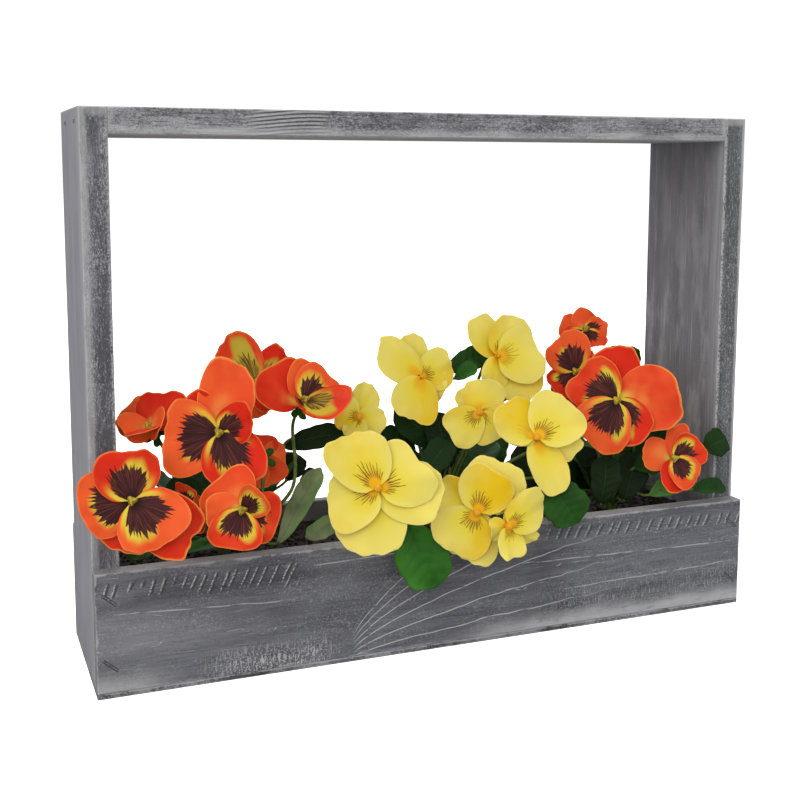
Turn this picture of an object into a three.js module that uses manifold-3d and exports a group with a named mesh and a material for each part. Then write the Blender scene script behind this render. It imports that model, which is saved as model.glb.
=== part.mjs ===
// Planted window box: a small open wooden frame with a low planter along its foot,
// filled with soil and three pansy plants, orange, yellow and orange.
// Millimetres, +Z up, front towards -Y. The origin is the middle of the base's underside.

import * as THREE from 'three';
import { mergeVertices } from 'three/addons/utils/BufferGeometryUtils.js';
import Module from 'manifold-3d';

const wasm = await Module();
wasm.setup();

// Driving dimensions of the wooden box
const BOX_WIDTH = 406;
const BOX_HEIGHT = 310;
const POST_DEPTH = 84;
const POST_THICK = 14.5;
const RAIL_THICK = 14;
const FRONT_THICK = 10;
const BACK_THICK = 6.5;
const BOARD_TOP = 68.5;
const BASE_THICK = 3;
const EDGE = 0.6;
const GAP = 0.3;

// Staples that hold the boards: crown, wire, legs, how far they stand from a board's edges,
// and how far those in the long boards slant, in degrees
const CROWN = 9;
const WIRE = 1.1;
const LEG = 15;
const STAPLE_FOOT = 18;
const STAPLE_HEAD = 14.5;
const STAPLE_SLANT = 40;
const RAIL_STAPLES = [['near', 0.25], ['far', 0.75]];

// Soil, the trunks that stand in it and the branches that leave them
const SOIL_TOP = 56;
const ROOT_DEEP = 34;
const TRUNK_RADIUS = 4;
const TRUNK_SIDES = 8;
const TRUNK_RISE = 10;
const BRANCH_RADIUS = 1.35;
const BRANCH_SIDES = 4;
const BRANCH_STEPS = 5;
const BRANCH_START = 8;
const NECK = 13;

// Petals: thickness, half the fan's angle and its roundness, and where the blade starts
const PETAL_THICK = 0.7;
const PETAL_SPREAD = 1.43;
const PETAL_ROUND = 0.7;
const PETAL_START = 0.06;
const PETAL_WIDTH = 1.127;
const NOTCH_SPREAD = 0.22;
const RIPPLES = 3.4;
const LAYER_STEP = 1.3;
const LAYER_TILT = 3;
const LONG_PETAL = 29;
const SHORT_PETAL = 17;

// The flower's core, the calyx behind it, and leaves on their stalks
const CORE_RADIUS = 2.3;
const CORE_BACK = 6.5;
const CORE_SIDES = 5;
const CALYX_LONG = 7;
const LEAF_THICK = 0.8;
const STALK_THICK = 1.6;
const STALK_HALF = 0.9;
const WIDEST = 0.6;

// Worked out from the driving dimensions
const DEPTH = FRONT_THICK + POST_DEPTH + BACK_THICK;
const FRONT_FACE = -DEPTH / 2;
const POST_FRONT = FRONT_FACE + FRONT_THICK;
const POST_BACK = POST_FRONT + POST_DEPTH;
const INNER_HALF = BOX_WIDTH / 2 - POST_THICK;
const rad = THREE.MathUtils.degToRad;

const group = new THREE.Group();

const paints = {
  wood: new THREE.MeshStandardMaterial({ color: 0x77777b, roughness: 0.85, metalness: 0 }),
  soil: new THREE.MeshStandardMaterial({ color: 0x241a12, roughness: 1, metalness: 0 }),
  steel: new THREE.MeshStandardMaterial({ color: 0x55565a, roughness: 0.5, metalness: 0.9 }),
  orange: new THREE.MeshStandardMaterial({ color: 0xee4a22, roughness: 0.6, metalness: 0 }),
  yellow: new THREE.MeshStandardMaterial({ color: 0xf0d84e, roughness: 0.6, metalness: 0 }),
  green: new THREE.MeshStandardMaterial({ color: 0x24501f, roughness: 0.6, metalness: 0 }),
};

// Solid and mesh helpers

function toSolid(geometry) {
  const bare = geometry.index ? geometry.toNonIndexed() : geometry.clone();
  bare.deleteAttribute('normal');
  bare.deleteAttribute('uv');
  const merged = mergeVertices(bare, 1e-4);
  const mesh = new wasm.Mesh({
    numProp: 3,
    vertProperties: new Float32Array(merged.attributes.position.array),
    triVerts: new Uint32Array(merged.index.array),
  });
  return new wasm.Manifold(mesh);
}

function toGeometry(solid) {
  const mesh = solid.getMesh();
  const geometry = new THREE.BufferGeometry();
  geometry.setAttribute('position', new THREE.BufferAttribute(mesh.vertProperties, 3));
  geometry.setIndex(new THREE.BufferAttribute(mesh.triVerts, 1));
  geometry.computeVertexNormals();
  return geometry;
}

function addMesh(name, solid, paint, frame) {
  const mesh = new THREE.Mesh(toGeometry(solid), paints[paint]);
  mesh.name = name;
  if (frame) {
    mesh.position.copy(frame.at);
    mesh.quaternion.copy(frame.turn);
  }
  group.add(mesh);
}

function joined(solids) {
  return solids.reduce((whole, next) => whole.add(next));
}

function box(low, high) {
  const size = new THREE.Vector3().subVectors(high, low);
  const geometry = new THREE.BoxGeometry(size.x, size.y, size.z);
  geometry.translate((low.x + high.x) / 2, (low.y + high.y) / 2, (low.z + high.z) / 2);
  return toSolid(geometry);
}

// A board with small chamfers on all its edges
function board(low, high) {
  const size = new THREE.Vector3().subVectors(high, low);
  const w = size.x / 2 - EDGE;
  const h = size.z / 2 - EDGE;
  const outline = new THREE.Shape();
  outline.moveTo(-w, -h);
  outline.lineTo(w, -h);
  outline.lineTo(w, h);
  outline.lineTo(-w, h);
  const geometry = new THREE.ExtrudeGeometry(outline, {
    depth: size.y - 2 * EDGE,
    bevelEnabled: true,
    bevelThickness: EDGE,
    bevelSize: EDGE,
    bevelSegments: 1,
  });
  geometry.translate(0, 0, -size.y / 2 + EDGE);
  geometry.rotateX(Math.PI / 2);
  geometry.translate((low.x + high.x) / 2, (low.y + high.y) / 2, (low.z + high.z) / 2);
  return toSolid(geometry);
}

// Staples: a crown with two legs. Each row is the crown's middle on the wood's face,
// the way that the legs point and the way that the crown runs.

function stapleRows() {
  const x = BOX_WIDTH / 2 - POST_THICK / 2;
  const heights = [['low', STAPLE_FOOT], ['high', BOARD_TOP - STAPLE_HEAD]];
  const into = new THREE.Vector3(0, 1, 0);
  const slant = THREE.MathUtils.degToRad(STAPLE_SLANT);
  const along = new THREE.Vector3(Math.cos(slant), 0, -Math.sin(slant));
  const rows = [];
  for (const [side, sign] of [['left', -1], ['right', 1]]) {
    for (const [place, z] of heights) {
      rows.push([`staple_front_${side}_${place}`, [sign * x, FRONT_FACE, z], into, along]);
      rows.push([`staple_back_${side}_${place}`, [sign * x, DEPTH / 2, z], into.clone().negate(), along]);
    }
    for (const [place, share] of RAIL_STAPLES) {
      const y = POST_FRONT + POST_DEPTH * share;
      const inwards = new THREE.Vector3(-sign, 0, 0);
      const at = [sign * BOX_WIDTH / 2, y, BOX_HEIGHT - RAIL_THICK / 2];
      rows.push([`staple_rail_${side}_${place}`, at, inwards, new THREE.Vector3(0, 1, 0)]);
    }
  }
  return rows;
}

// A U-shaped outline, extruded to the wire's thickness. clear is 0 for the staple
// itself and the gap for the slot that it sits in, which is open at the face.
function staple(at, into, along, clear) {
  const outer = CROWN / 2 + clear;
  const inner = CROWN / 2 - WIRE - clear;
  const top = clear * 4;
  const crown = -WIRE - clear;
  const foot = -LEG - clear;
  const outline = new THREE.Shape();
  outline.moveTo(-outer, top);
  outline.lineTo(-outer, foot);
  outline.lineTo(-inner, foot);
  outline.lineTo(-inner, crown);
  outline.lineTo(inner, crown);
  outline.lineTo(inner, foot);
  outline.lineTo(outer, foot);
  outline.lineTo(outer, top);
  const wire = WIRE + 2 * clear;
  const geometry = new THREE.ExtrudeGeometry(outline, { depth: wire, bevelEnabled: false });
  geometry.translate(0, 0, -wire / 2);
  const outwards = into.clone().negate();
  const across = new THREE.Vector3().crossVectors(along, outwards);
  const basis = new THREE.Matrix4().makeBasis(along, outwards, across);
  basis.setPosition(new THREE.Vector3(...at).addScaledVector(into, GAP));
  geometry.applyMatrix4(basis);
  return toSolid(geometry);
}

// The wooden frame and planter, with the staples' slots cut into it

function addWood() {
  const half = BOX_WIDTH / 2;
  const boards = {
    post_left: [[-half, POST_FRONT, BASE_THICK], [-INNER_HALF, POST_BACK, BOX_HEIGHT]],
    post_right: [[INNER_HALF, POST_FRONT, BASE_THICK], [half, POST_BACK, BOX_HEIGHT]],
    top_rail: [[-INNER_HALF, POST_FRONT, BOX_HEIGHT - RAIL_THICK], [INNER_HALF, POST_BACK, BOX_HEIGHT]],
    front_board: [[-half, FRONT_FACE, BASE_THICK], [half, POST_FRONT, BOARD_TOP]],
    back_board: [[-half, POST_BACK, BASE_THICK], [half, DEPTH / 2, BOARD_TOP]],
    base_board: [[-half, FRONT_FACE, 0], [half, DEPTH / 2, BASE_THICK]],
  };
  const rows = stapleRows();
  const slots = joined(rows.map(([, at, into, along]) => staple(at, into, along, GAP)));
  for (const [name, [low, high]] of Object.entries(boards)) {
    const plank = board(new THREE.Vector3(...low), new THREE.Vector3(...high));
    addMesh(name, name === 'base_board' ? plank : plank.subtract(slots), 'wood');
  }
  for (const [name, at, into, along] of rows) {
    addMesh(name, staple(at, into, along, 0), 'steel');
  }
}

// Thin curved blades: surface(u, v) gives the middle skin, u from -1 to 1 across
// and v from 0 to 1 along. rows lists each cross row as [v, pieces across].
// Both faces are split into the same triangles.

function blade(surface, rows, thick) {
  const step = 1e-3;
  const tops = [];
  const unders = [];
  const starts = [];
  for (const [v, across] of rows) {
    starts.push(tops.length);
    for (let i = 0; i <= across; i += 1) {
      const u = -1 + (2 * i) / across;
      const du = surface(u + step, v).sub(surface(u - step, v));
      const dv = surface(u, v + step).sub(surface(u, v - step));
      const normal = du.cross(dv).normalize();
      const half = thick(v) / 2;
      tops.push(surface(u, v).addScaledVector(normal, half));
      unders.push(surface(u, v).addScaledVector(normal, -half));
    }
  }
  const under = tops.length;
  const index = [];
  const rim = [];
  for (let k = 0; k + 1 < rows.length; k += 1) {
    zip(starts[k], rows[k][1], starts[k + 1], rows[k + 1][1], (a, b, c) => {
      index.push(a, b, c, under + a, under + c, under + b);
    });
  }
  const last = rows.length - 1;
  for (let i = 0; i < rows[0][1]; i += 1) rim.push(i);
  for (let k = 0; k < last; k += 1) rim.push(starts[k] + rows[k][1]);
  for (let i = rows[last][1]; i > 0; i -= 1) rim.push(starts[last] + i);
  for (let k = last; k > 0; k -= 1) rim.push(starts[k]);
  rim.forEach((a, k) => {
    const b = rim[(k + 1) % rim.length];
    index.push(under + a, under + b, b, under + a, b, a);
  });
  const geometry = new THREE.BufferGeometry();
  const spots = [...tops, ...unders].flatMap((point) => point.toArray());
  geometry.setAttribute('position', new THREE.Float32BufferAttribute(spots, 3));
  geometry.setIndex(index);
  return toSolid(geometry);
}

// Triangles between two rows of points, which may have different counts
function zip(lower, lowerCount, upper, upperCount, triangle) {
  let i = 0;
  let j = 0;
  while (i < lowerCount || j < upperCount) {
    const lowerFirst = (i + 0.5) / lowerCount < (j + 0.5) / upperCount;
    if (i < lowerCount && (j === upperCount || lowerFirst)) {
      triangle(lower + i, lower + i + 1, upper + j);
      i += 1;
    } else {
      triangle(lower + i, upper + j + 1, upper + j);
      j += 1;
    }
  }
}

// One petal: a fan from the flower's middle. angle is where it points on the face,
// counter-clockwise from the right; wide is its full width; tilt lifts it to the front.
function petal(row, layer) {
  const { angle, long, wide, tilt = 0, cup = 2, wave = 0.8, curl = 0, notch = 0 } = row;
  const along = new THREE.Vector2(Math.cos(rad(angle)), Math.sin(rad(angle)));
  const side = new THREE.Vector2(along.y, -along.x);
  const stretch = wide / (PETAL_WIDTH * long);
  const lift = Math.tan(rad(tilt + layer * LAYER_TILT));
  const phase = angle * 0.7;
  const surface = (u, v) => {
    const turn = u * PETAL_SPREAD;
    const reach = long * Math.max(Math.cos(turn), 0.02) ** PETAL_ROUND;
    const dent = 1 - notch * Math.exp(-((u / NOTCH_SPREAD) ** 2));
    const share = PETAL_START + (1 - PETAL_START) * v;
    const r = reach * share * dent;
    const part = r / long;
    const x = stretch * r * Math.sin(turn);
    const y = r * Math.cos(turn);
    const ripple = wave * part ** 2 * Math.sin(RIPPLES * turn + phase);
    const z = layer * LAYER_STEP + lift * y + cup * part ** 2 - curl * part ** 4 + ripple;
    return new THREE.Vector3(along.x * y + side.x * x, along.y * y + side.y * x, z);
  };
  const across = long > LONG_PETAL ? 7 : long > SHORT_PETAL ? 5 : 4;
  return blade(surface, [[0, 1], [0.55, 3], [1, across]], () => PETAL_THICK);
}

// The direction that a flower faces, and its frame: x right, y up, z out of the face.
// turn is counted from straight ahead towards the right, tip from level upwards.
function faceFrame(at, turn, tip) {
  const out = new THREE.Vector3(
    Math.sin(rad(turn)) * Math.cos(rad(tip)),
    -Math.cos(rad(turn)) * Math.cos(rad(tip)),
    Math.sin(rad(tip)),
  );
  const right = new THREE.Vector3(Math.cos(rad(turn)), Math.sin(rad(turn)), 0);
  const up = new THREE.Vector3().crossVectors(out, right);
  const basis = new THREE.Matrix4().makeBasis(right, up, out);
  const frame = { at: new THREE.Vector3(...at), out };
  frame.turn = new THREE.Quaternion().setFromRotationMatrix(basis);
  return frame;
}

function lathe(profile, sides) {
  const points = profile.map(([r, z]) => new THREE.Vector2(r, z));
  const geometry = new THREE.LatheGeometry(points, sides);
  geometry.rotateX(Math.PI / 2);
  return toSolid(geometry);
}

// Flower core with its raised eye in front
function core(front) {
  return lathe([
    [0, -CORE_BACK],
    [CORE_RADIUS * 0.8, -CORE_BACK],
    [CORE_RADIUS, front],
    [CORE_RADIUS * 0.55, front + 1.6],
    [0, front + 1.9],
  ], CORE_SIDES);
}

const back = (angle, long, wide, more = {}) => ({ angle, long, wide, cup: 1, ...more });
const front = (angle, long, wide, more = {}) => ({ angle, long, wide, ...more });

// The usual pansy: two plain petals behind at the top, two at the sides, one below
function usual(size, roll, more = {}) {
  return [
    back(125 + roll, size * 1.05, size * 1.15, more),
    back(55 + roll, size * 1.05, size * 1.15, more),
    front(190 + roll, size * 0.95, size * 1.05, more),
    front(-10 + roll, size * 0.95, size * 1.05, more),
    front(270 + roll, size, size * 1.2, { notch: 0.07, ...more }),
  ];
}

// Flowers: name, colour, middle, turn, tip, and the petals from the rearmost on
const FLOWERS = [
  ['bloom_a', 'orange', [-185, -66, 111], -8, 14, [
    back(-100, 27, 30), back(-36, 42, 31), front(182, 28, 34), front(100, 28, 33), front(-48, 29, 38)]],
  ['bloom_b', 'orange', [-136, -50, 139], -13, 12, [
    back(135, 27, 24), back(78, 40, 31), front(28, 20, 22, { tilt: 25 }), front(188, 32, 39),
    front(-62, 32, 35)]],
  ['bloom_c', 'orange', [-130, -75, 103], -14, 14, [
    back(128, 22, 32), back(190, 20, 22), front(35, 14, 18, { tilt: 48 }), front(-22, 21, 26),
    front(-110, 22, 27)]],
  ['bloom_d', 'orange', [-168, -26, 139], -30, 30, [
    back(145, 22, 25), back(75, 24, 28), front(200, 13, 18, { tilt: 45 }),
    front(0, 13, 18, { tilt: 45 }), front(-75, 9, 20, { tilt: 58 })]],
  ['bloom_e', 'orange', [-101, 4, 154], -10, 20, [
    back(-100, 21, 20), back(-50, 20, 18), front(200, 14, 16), front(48, 25, 21), front(124, 33, 26)]],
  ['bloom_f', 'orange', [-81, -24, 147], 5, 35, [
    back(125, 31, 36), back(60, 27, 28), front(215, 10, 13, { tilt: 45 }), front(40, 26, 27),
    front(-45, 22, 26, { tilt: 45 })]],
  ['bloom_g', 'orange', [-104, -14, 113], 170, -20, usual(17, 180)],
  ['bloom_h', 'orange', [-150, -38, 97], -60, 0, usual(15, 160)],
  ['bloom_i', 'yellow', [-53, -70, 106], -20, 14, [
    back(-96, 38, 39), back(-8, 38, 34), front(212, 31, 36), front(28, 31, 37), front(122, 36, 33)]],
  ['bloom_j', 'yellow', [7, -70, 86], -25, 14, [
    back(62, 35, 34), back(-98, 31, 28), back(150, 28, 24), front(-125, 28, 34), front(72, 28, 31)]],
  ['bloom_k', 'yellow', [34, -15, 131], -25, 10, [
    back(112, 19, 22), back(80, 21, 26), front(-10, 16, 18), front(-62, 22, 20), front(-138, 25, 25)]],
  ['bloom_l', 'yellow', [58, -43, 119], -20, 22, [
    back(-14, 29, 18), back(-76, 36, 27), front(172, 19, 13), front(138, 30, 28), front(42, 31, 35)]],
  ['bloom_m', 'yellow', [1, 2, 152], 5, 15, [
    back(105, 29, 24), back(-32, 20, 20), front(15, 25, 26), front(142, 34, 25), front(-112, 31, 31)]],
  ['bloom_n', 'yellow', [53, 2, 162], -5, 10, [
    back(114, 30, 20), back(-44, 38, 30), front(-100, 21, 17), front(52, 29, 28), front(0, 30, 36)]],
  ['bloom_o', 'yellow', [20, -82, 80], 0, 10, [
    back(64, 20, 7), back(190, 12, 13), front(-30, 20, 11), front(-84, 20, 16), front(32, 26, 24)]],
  ['bloom_p', 'yellow', [-45, -14, 134], 0, 5, [
    back(60, 21, 20), back(-25, 19, 19), front(115, 20, 7), front(-110, 15, 16), front(165, 15, 20)]],
  ['bloom_q', 'orange', [119, -34, 136], -32, 11, [
    back(96, 36, 33), back(4, 40, 42), front(-58, 30, 28), front(148, 33, 33), front(-118, 34, 36)]],
  ['bloom_r', 'orange', [110, 2, 149], -30, 10, [
    back(-60, 24, 24), back(-110, 24, 24), front(30, 18, 18), front(-140, 20, 20), front(112, 26, 30)]],
  ['bloom_s', 'orange', [130, 26, 171], -15, 40, usual(17, 20)],
  ['bloom_t', 'orange', [151, -50, 100], -20, 15, [
    back(165, 20, 21), back(75, 24, 13), back(-80, 22, 22), front(25, 21, 22), front(-55, 21, 20)]],
];

const frames = new Map();

function addFlowers() {
  for (const [name, colour, at, turn, tip, petals] of FLOWERS) {
    const frame = faceFrame(at, turn, tip);
    frames.set(name, frame);
    const middle = (petals.length - 1) / 2;
    const solids = petals.map((row, k) => petal(row, k - middle));
    solids.push(core(middle * LAYER_STEP + 0.8));
    addMesh(name, joined(solids), colour, frame);
  }
}

// Plants: where the trunk stands in the soil and which flowers its branches carry.
// A branch may pass by a point of its own, to stay clear of the flowers on its way.
const PLANTS = {
  plant_left: {
    trunk: [-122, 4],
    branches: {
      bloom_a: null, bloom_b: null, bloom_c: null, bloom_d: null,
      bloom_e: null, bloom_f: [-92, -36, 100], bloom_g: [-112, -38, 88], bloom_h: null,
    },
  },
  plant_middle: {
    trunk: [14, 6],
    branches: {
      bloom_i: null, bloom_j: null, bloom_k: null, bloom_l: null,
      bloom_m: null, bloom_n: null, bloom_o: null, bloom_p: null,
    },
  },
  plant_right: {
    trunk: [138, 0],
    branches: { bloom_q: null, bloom_r: null, bloom_s: null, bloom_t: null },
  },
};

// Leaves: plant, what the stalk grows from, where the blade starts, its tip,
// its full width, and how far it faces up instead of to the front
const LEAVES = [
  ['plant_left', 'bloom_f', [-88, -6, 118], [-52, -14, 124], 15, 0.3],
  ['plant_left', 'trunk', [-100, -31, 68], [-71, -24, 108], 13, 0],
  ['plant_left', 'trunk', [-132, -14, 96], [-158, -10, 101], 12, 0.4],
  ['plant_left', 'trunk', [-104, -33, 71], [-152, -36, 71], 13, 0.7],
  ['plant_left', 'trunk', [-84, 4, 94], [-74, 8, 108], 15, 0.1],
  ['plant_left', 'trunk', [-103, -8, 80], [-118, 10, 92], 14, 0.3],
  ['plant_left', 'trunk', [-168, -32, 72], [-183, -35, 70], 10, 0.6],
  ['plant_left', 'trunk', [-75, 6, 81], [-60, 16, 96], 13, 0.2],
  ['plant_middle', 'trunk', [-29, -50, 80], [-19, -66, 43], 34, 0.1],
  ['plant_middle', 'trunk', [64, -46, 93], [78, -60, 69], 28, 0.1],
  ['plant_middle', 'trunk', [76, -14, 77], [64, -8, 106], 21, 0.1],
  ['plant_middle', 'bloom_m', [23, 16, 152], [57, 20, 161], 16, 0.2],
  ['plant_middle', 'bloom_m', [27, 10, 148], [41, 4, 156], 11, 0.4],
  ['plant_middle', 'trunk', [16, 4, 105], [-13, 8, 133], 22, 0.2],
  ['plant_middle', 'trunk', [18, -6, 94], [13, 4, 129], 20, 0.1],
  ['plant_middle', 'trunk', [65, 14, 131], [85, 18, 140], 14, 0.3],
  ['plant_middle', 'trunk', [77, -20, 73], [88, -14, 97], 19, 0.1],
  ['plant_middle', 'trunk', [-7, -20, 94], [15, -12, 114], 18, 0.2],
  ['plant_middle', 'trunk', [4, 14, 92], [-22, 18, 116], 24, 0.2],
  ['plant_middle', 'trunk', [28, 16, 96], [34, 20, 124], 24, 0.1],
  ['plant_middle', 'trunk', [50, 22, 80], [66, 26, 108], 24, 0.1],
  ['plant_middle', 'trunk', [-56, -30, 78], [-84, -36, 71], 12, 0.3],
  ['plant_right', 'bloom_q', [136, 14, 158], [168, 16, 152], 13, 0.1],
  ['plant_right', 'trunk', [176, -44, 102], [192, -47, 109], 18, 0.1],
  ['plant_right', 'trunk', [168, -45, 77], [192, -48, 77], 12, 0.5],
  ['plant_right', 'trunk', [133, -22, 67], [147, -14, 96], 21, 0],
  ['plant_right', 'trunk', [113, -28, 68], [119, -24, 99], 20, 0],
  ['plant_right', 'trunk', [140, -22, 88], [160, -30, 96], 17, 0.2],
  ['plant_right', 'trunk', [126, 12, 66], [124, 14, 96], 23, 0],
  ['plant_right', 'trunk', [144, -34, 73], [170, -36, 82], 14, 0.3],
  ['plant_right', 'trunk', [155, 0, 87], [181, 4, 104], 20, 0.1],
  ['plant_right', 'trunk', [120, 20, 74], [98, 24, 93], 18, 0.2],
  ['plant_right', 'trunk', [112, 4, 70], [92, 6, 98], 22, 0.1],
  ['plant_right', 'trunk', [150, 22, 74], [156, 26, 104], 24, 0.1],
];

// Low leaves round the back of each trunk, where its angles run from the right to the left
const RING = {
  angles: [15, 62, 110, 165],
  start: 14,
  reach: 46,
  low: 14,
  high: 42,
  wide: 27,
  seed: 7,
};

function extrudedPath(curve, radius, sides, steps) {
  const outline = new THREE.Shape();
  for (let k = 0; k < sides; k += 1) {
    const turn = (2 * Math.PI * k) / sides;
    const place = [radius * Math.cos(turn), radius * Math.sin(turn)];
    if (k === 0) outline.moveTo(...place);
    else outline.lineTo(...place);
  }
  return toSolid(new THREE.ExtrudeGeometry(outline, { steps, extrudePath: curve, bevelEnabled: false }));
}

// A spot inside the trunk, on the side that the branch or stalk leaves by
function trunkSpot(trunk, towards, z) {
  const way = new THREE.Vector2(towards.x - trunk[0], towards.y - trunk[1]).normalize();
  const inset = TRUNK_RADIUS * 0.55;
  return new THREE.Vector3(trunk[0] + way.x * inset, trunk[1] + way.y * inset, z);
}

// From the trunk's head up to just behind the flower, along the way that it faces
function branchCurve(trunk, flower, pass) {
  const start = trunkSpot(trunk, flower.at, SOIL_TOP + BRANCH_START);
  const end = flower.at.clone().addScaledVector(flower.out, -CORE_BACK - GAP - 1);
  const behind = end.clone().addScaledVector(flower.out, -NECK);
  behind.z -= 4;
  const middle = pass ? new THREE.Vector3(...pass) : start.clone().lerp(behind, 0.5);
  if (!pass) middle.z += 4;
  return new THREE.CatmullRomCurve3([start, middle, behind, end], false, 'centripetal');
}

function calyx(flower) {
  const top = -CORE_BACK - GAP;
  const foot = top - CALYX_LONG;
  const profile = [[0, foot], [BRANCH_RADIUS, foot], [CORE_RADIUS * 1.2, top], [0, top]];
  const solid = lathe(profile, CORE_SIDES);
  const turn = new THREE.Matrix4().compose(flower.at, flower.turn, new THREE.Vector3(1, 1, 1));
  return solid.transform(turn.elements);
}

// A leaf on its stalk: one blade that runs along a curve and widens past the stalk
function leaf(start, base, tip, wide, upward) {
  const along = new THREE.Vector3().subVectors(tip, base);
  const face = new THREE.Vector3(-0.35, -0.9, 0.2).lerp(new THREE.Vector3(0, 0, 1), upward);
  const side = new THREE.Vector3().crossVectors(along, face).normalize();
  const bow = new THREE.Vector3().crossVectors(side, along).normalize().multiplyScalar(along.length() * 0.1);
  const middle = base.clone().lerp(tip, 0.5).add(bow);
  const bend = start.clone().lerp(base, 0.5);
  bend.z += start.distanceTo(base) * 0.12;
  const curve = new THREE.CatmullRomCurve3([start, bend, base, middle, tip]);
  const surface = (u, v) => {
    const part = Math.max((v - 0.5) * 2, 0);
    const belly = part < WIDEST
      ? Math.sin((Math.PI / 2) * (part / WIDEST)) ** 0.9
      : Math.sqrt(Math.max(1 - ((part - WIDEST) / 0.46) ** 2, 0.05));
    const half = Math.max((wide / 2) * belly * (1 + 0.05 * Math.cos(part * 31)), STALK_HALF);
    const seat = Math.min(v * (1 - 0.05 * part * u * u), 1);
    const point = curve.getPoint(THREE.MathUtils.clamp(seat, 0, 1));
    const fold = part * (Math.abs(u) * half * 0.22 + u * u * 0.8 * Math.sin(part * 12 + u * 2));
    return point.addScaledVector(side, u * half).addScaledVector(bow.clone().normalize(), fold);
  };
  const rows = [[0, 1], [0.28, 1], [0.52, 1], [0.65, 2], [0.83, 2], [1, 2]];
  return blade(surface, rows, (v) => (v < 0.5 ? STALK_THICK : LEAF_THICK));
}

// The ring's leaves for one trunk, each a little different, kept inside the box
function ringLeaves(trunk) {
  let state = RING.seed + Math.round(trunk[0] + 500);
  const draw = () => {
    state = (state * 16807) % 2147483647;
    return state / 2147483647;
  };
  return RING.angles.map((angle) => {
    const turn = rad(angle + 12 * (draw() - 0.5));
    const reach = RING.reach * (0.85 + 0.3 * draw());
    const high = RING.high * (0.8 + 0.5 * draw());
    const spot = (far, z) => {
      const y = Math.min(trunk[1] + far * Math.sin(turn), POST_BACK - 6);
      return new THREE.Vector3(trunk[0] + far * Math.cos(turn), y, SOIL_TOP + z);
    };
    return [spot(RING.start, RING.low), spot(reach, high), RING.wide * (0.85 + 0.3 * draw())];
  });
}

function nearestOn(curve, place) {
  const spots = curve.getPoints(40).slice(2, 36);
  return spots.reduce((best, spot) => (spot.distanceTo(place) < best.distanceTo(place) ? spot : best));
}

function addPlants() {
  for (const [name, { trunk, branches }] of Object.entries(PLANTS)) {
    const top = SOIL_TOP + TRUNK_RISE;
    const foot = SOIL_TOP - ROOT_DEEP;
    const outline = [[0, foot], [TRUNK_RADIUS, foot], [TRUNK_RADIUS, top], [0, top]];
    const stock = lathe(outline, TRUNK_SIDES);
    const solids = [stock.translate([trunk[0], trunk[1], 0])];
    const curves = new Map();
    for (const [flower, pass] of Object.entries(branches)) {
      const curve = branchCurve(trunk, frames.get(flower), pass);
      curves.set(flower, curve);
      solids.push(extrudedPath(curve, BRANCH_RADIUS, BRANCH_SIDES, BRANCH_STEPS));
      solids.push(calyx(frames.get(flower)));
    }
    LEAVES.filter(([plant]) => plant === name).forEach(([, from, base, tip, wide, upward], k) => {
      const root = new THREE.Vector3(...base);
      const start = from === 'trunk'
        ? trunkSpot(trunk, root, SOIL_TOP + 3 + (k % 3) * 1.6)
        : nearestOn(curves.get(from), root);
      solids.push(leaf(start, root, new THREE.Vector3(...tip), wide, upward));
    });
    for (const [root, tip, wide] of ringLeaves(trunk)) {
      solids.push(leaf(trunkSpot(trunk, root, SOIL_TOP + 1.5), root, tip, wide, 0.9));
    }
    addMesh(name, joined(solids), 'green');
  }
}

// Soil between the boards, with a plain hole for each trunk
function addSoil() {
  const low = new THREE.Vector3(-INNER_HALF + GAP, POST_FRONT + GAP, BASE_THICK + GAP);
  const high = new THREE.Vector3(INNER_HALF - GAP, POST_BACK - GAP, SOIL_TOP);
  const holes = Object.values(PLANTS).map(({ trunk: [x, y] }) => {
    const radius = TRUNK_RADIUS + GAP;
    const foot = SOIL_TOP - ROOT_DEEP - GAP;
    const top = SOIL_TOP + 1;
    const hole = lathe([[0, foot], [radius, foot], [radius, top], [0, top]], TRUNK_SIDES);
    return hole.translate([x, y, 0]);
  });
  addMesh('soil', box(low, high).subtract(joined(holes)), 'soil');
}

addWood();
addSoil();
addFlowers();
addPlants();

export default group;
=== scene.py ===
"""Planted window box: a small grey-washed wooden frame with a low planter along its foot.

The boards and staples keep their shape and get their finish here. Finer soil, stems,
leaves and flowers stand for the plain ones, in the same places.
"""

import math
import random

import bpy
import numpy as np
from bpy.props import FloatProperty, FloatVectorProperty, IntProperty, PointerProperty
from mathutils import Matrix, Vector


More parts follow.
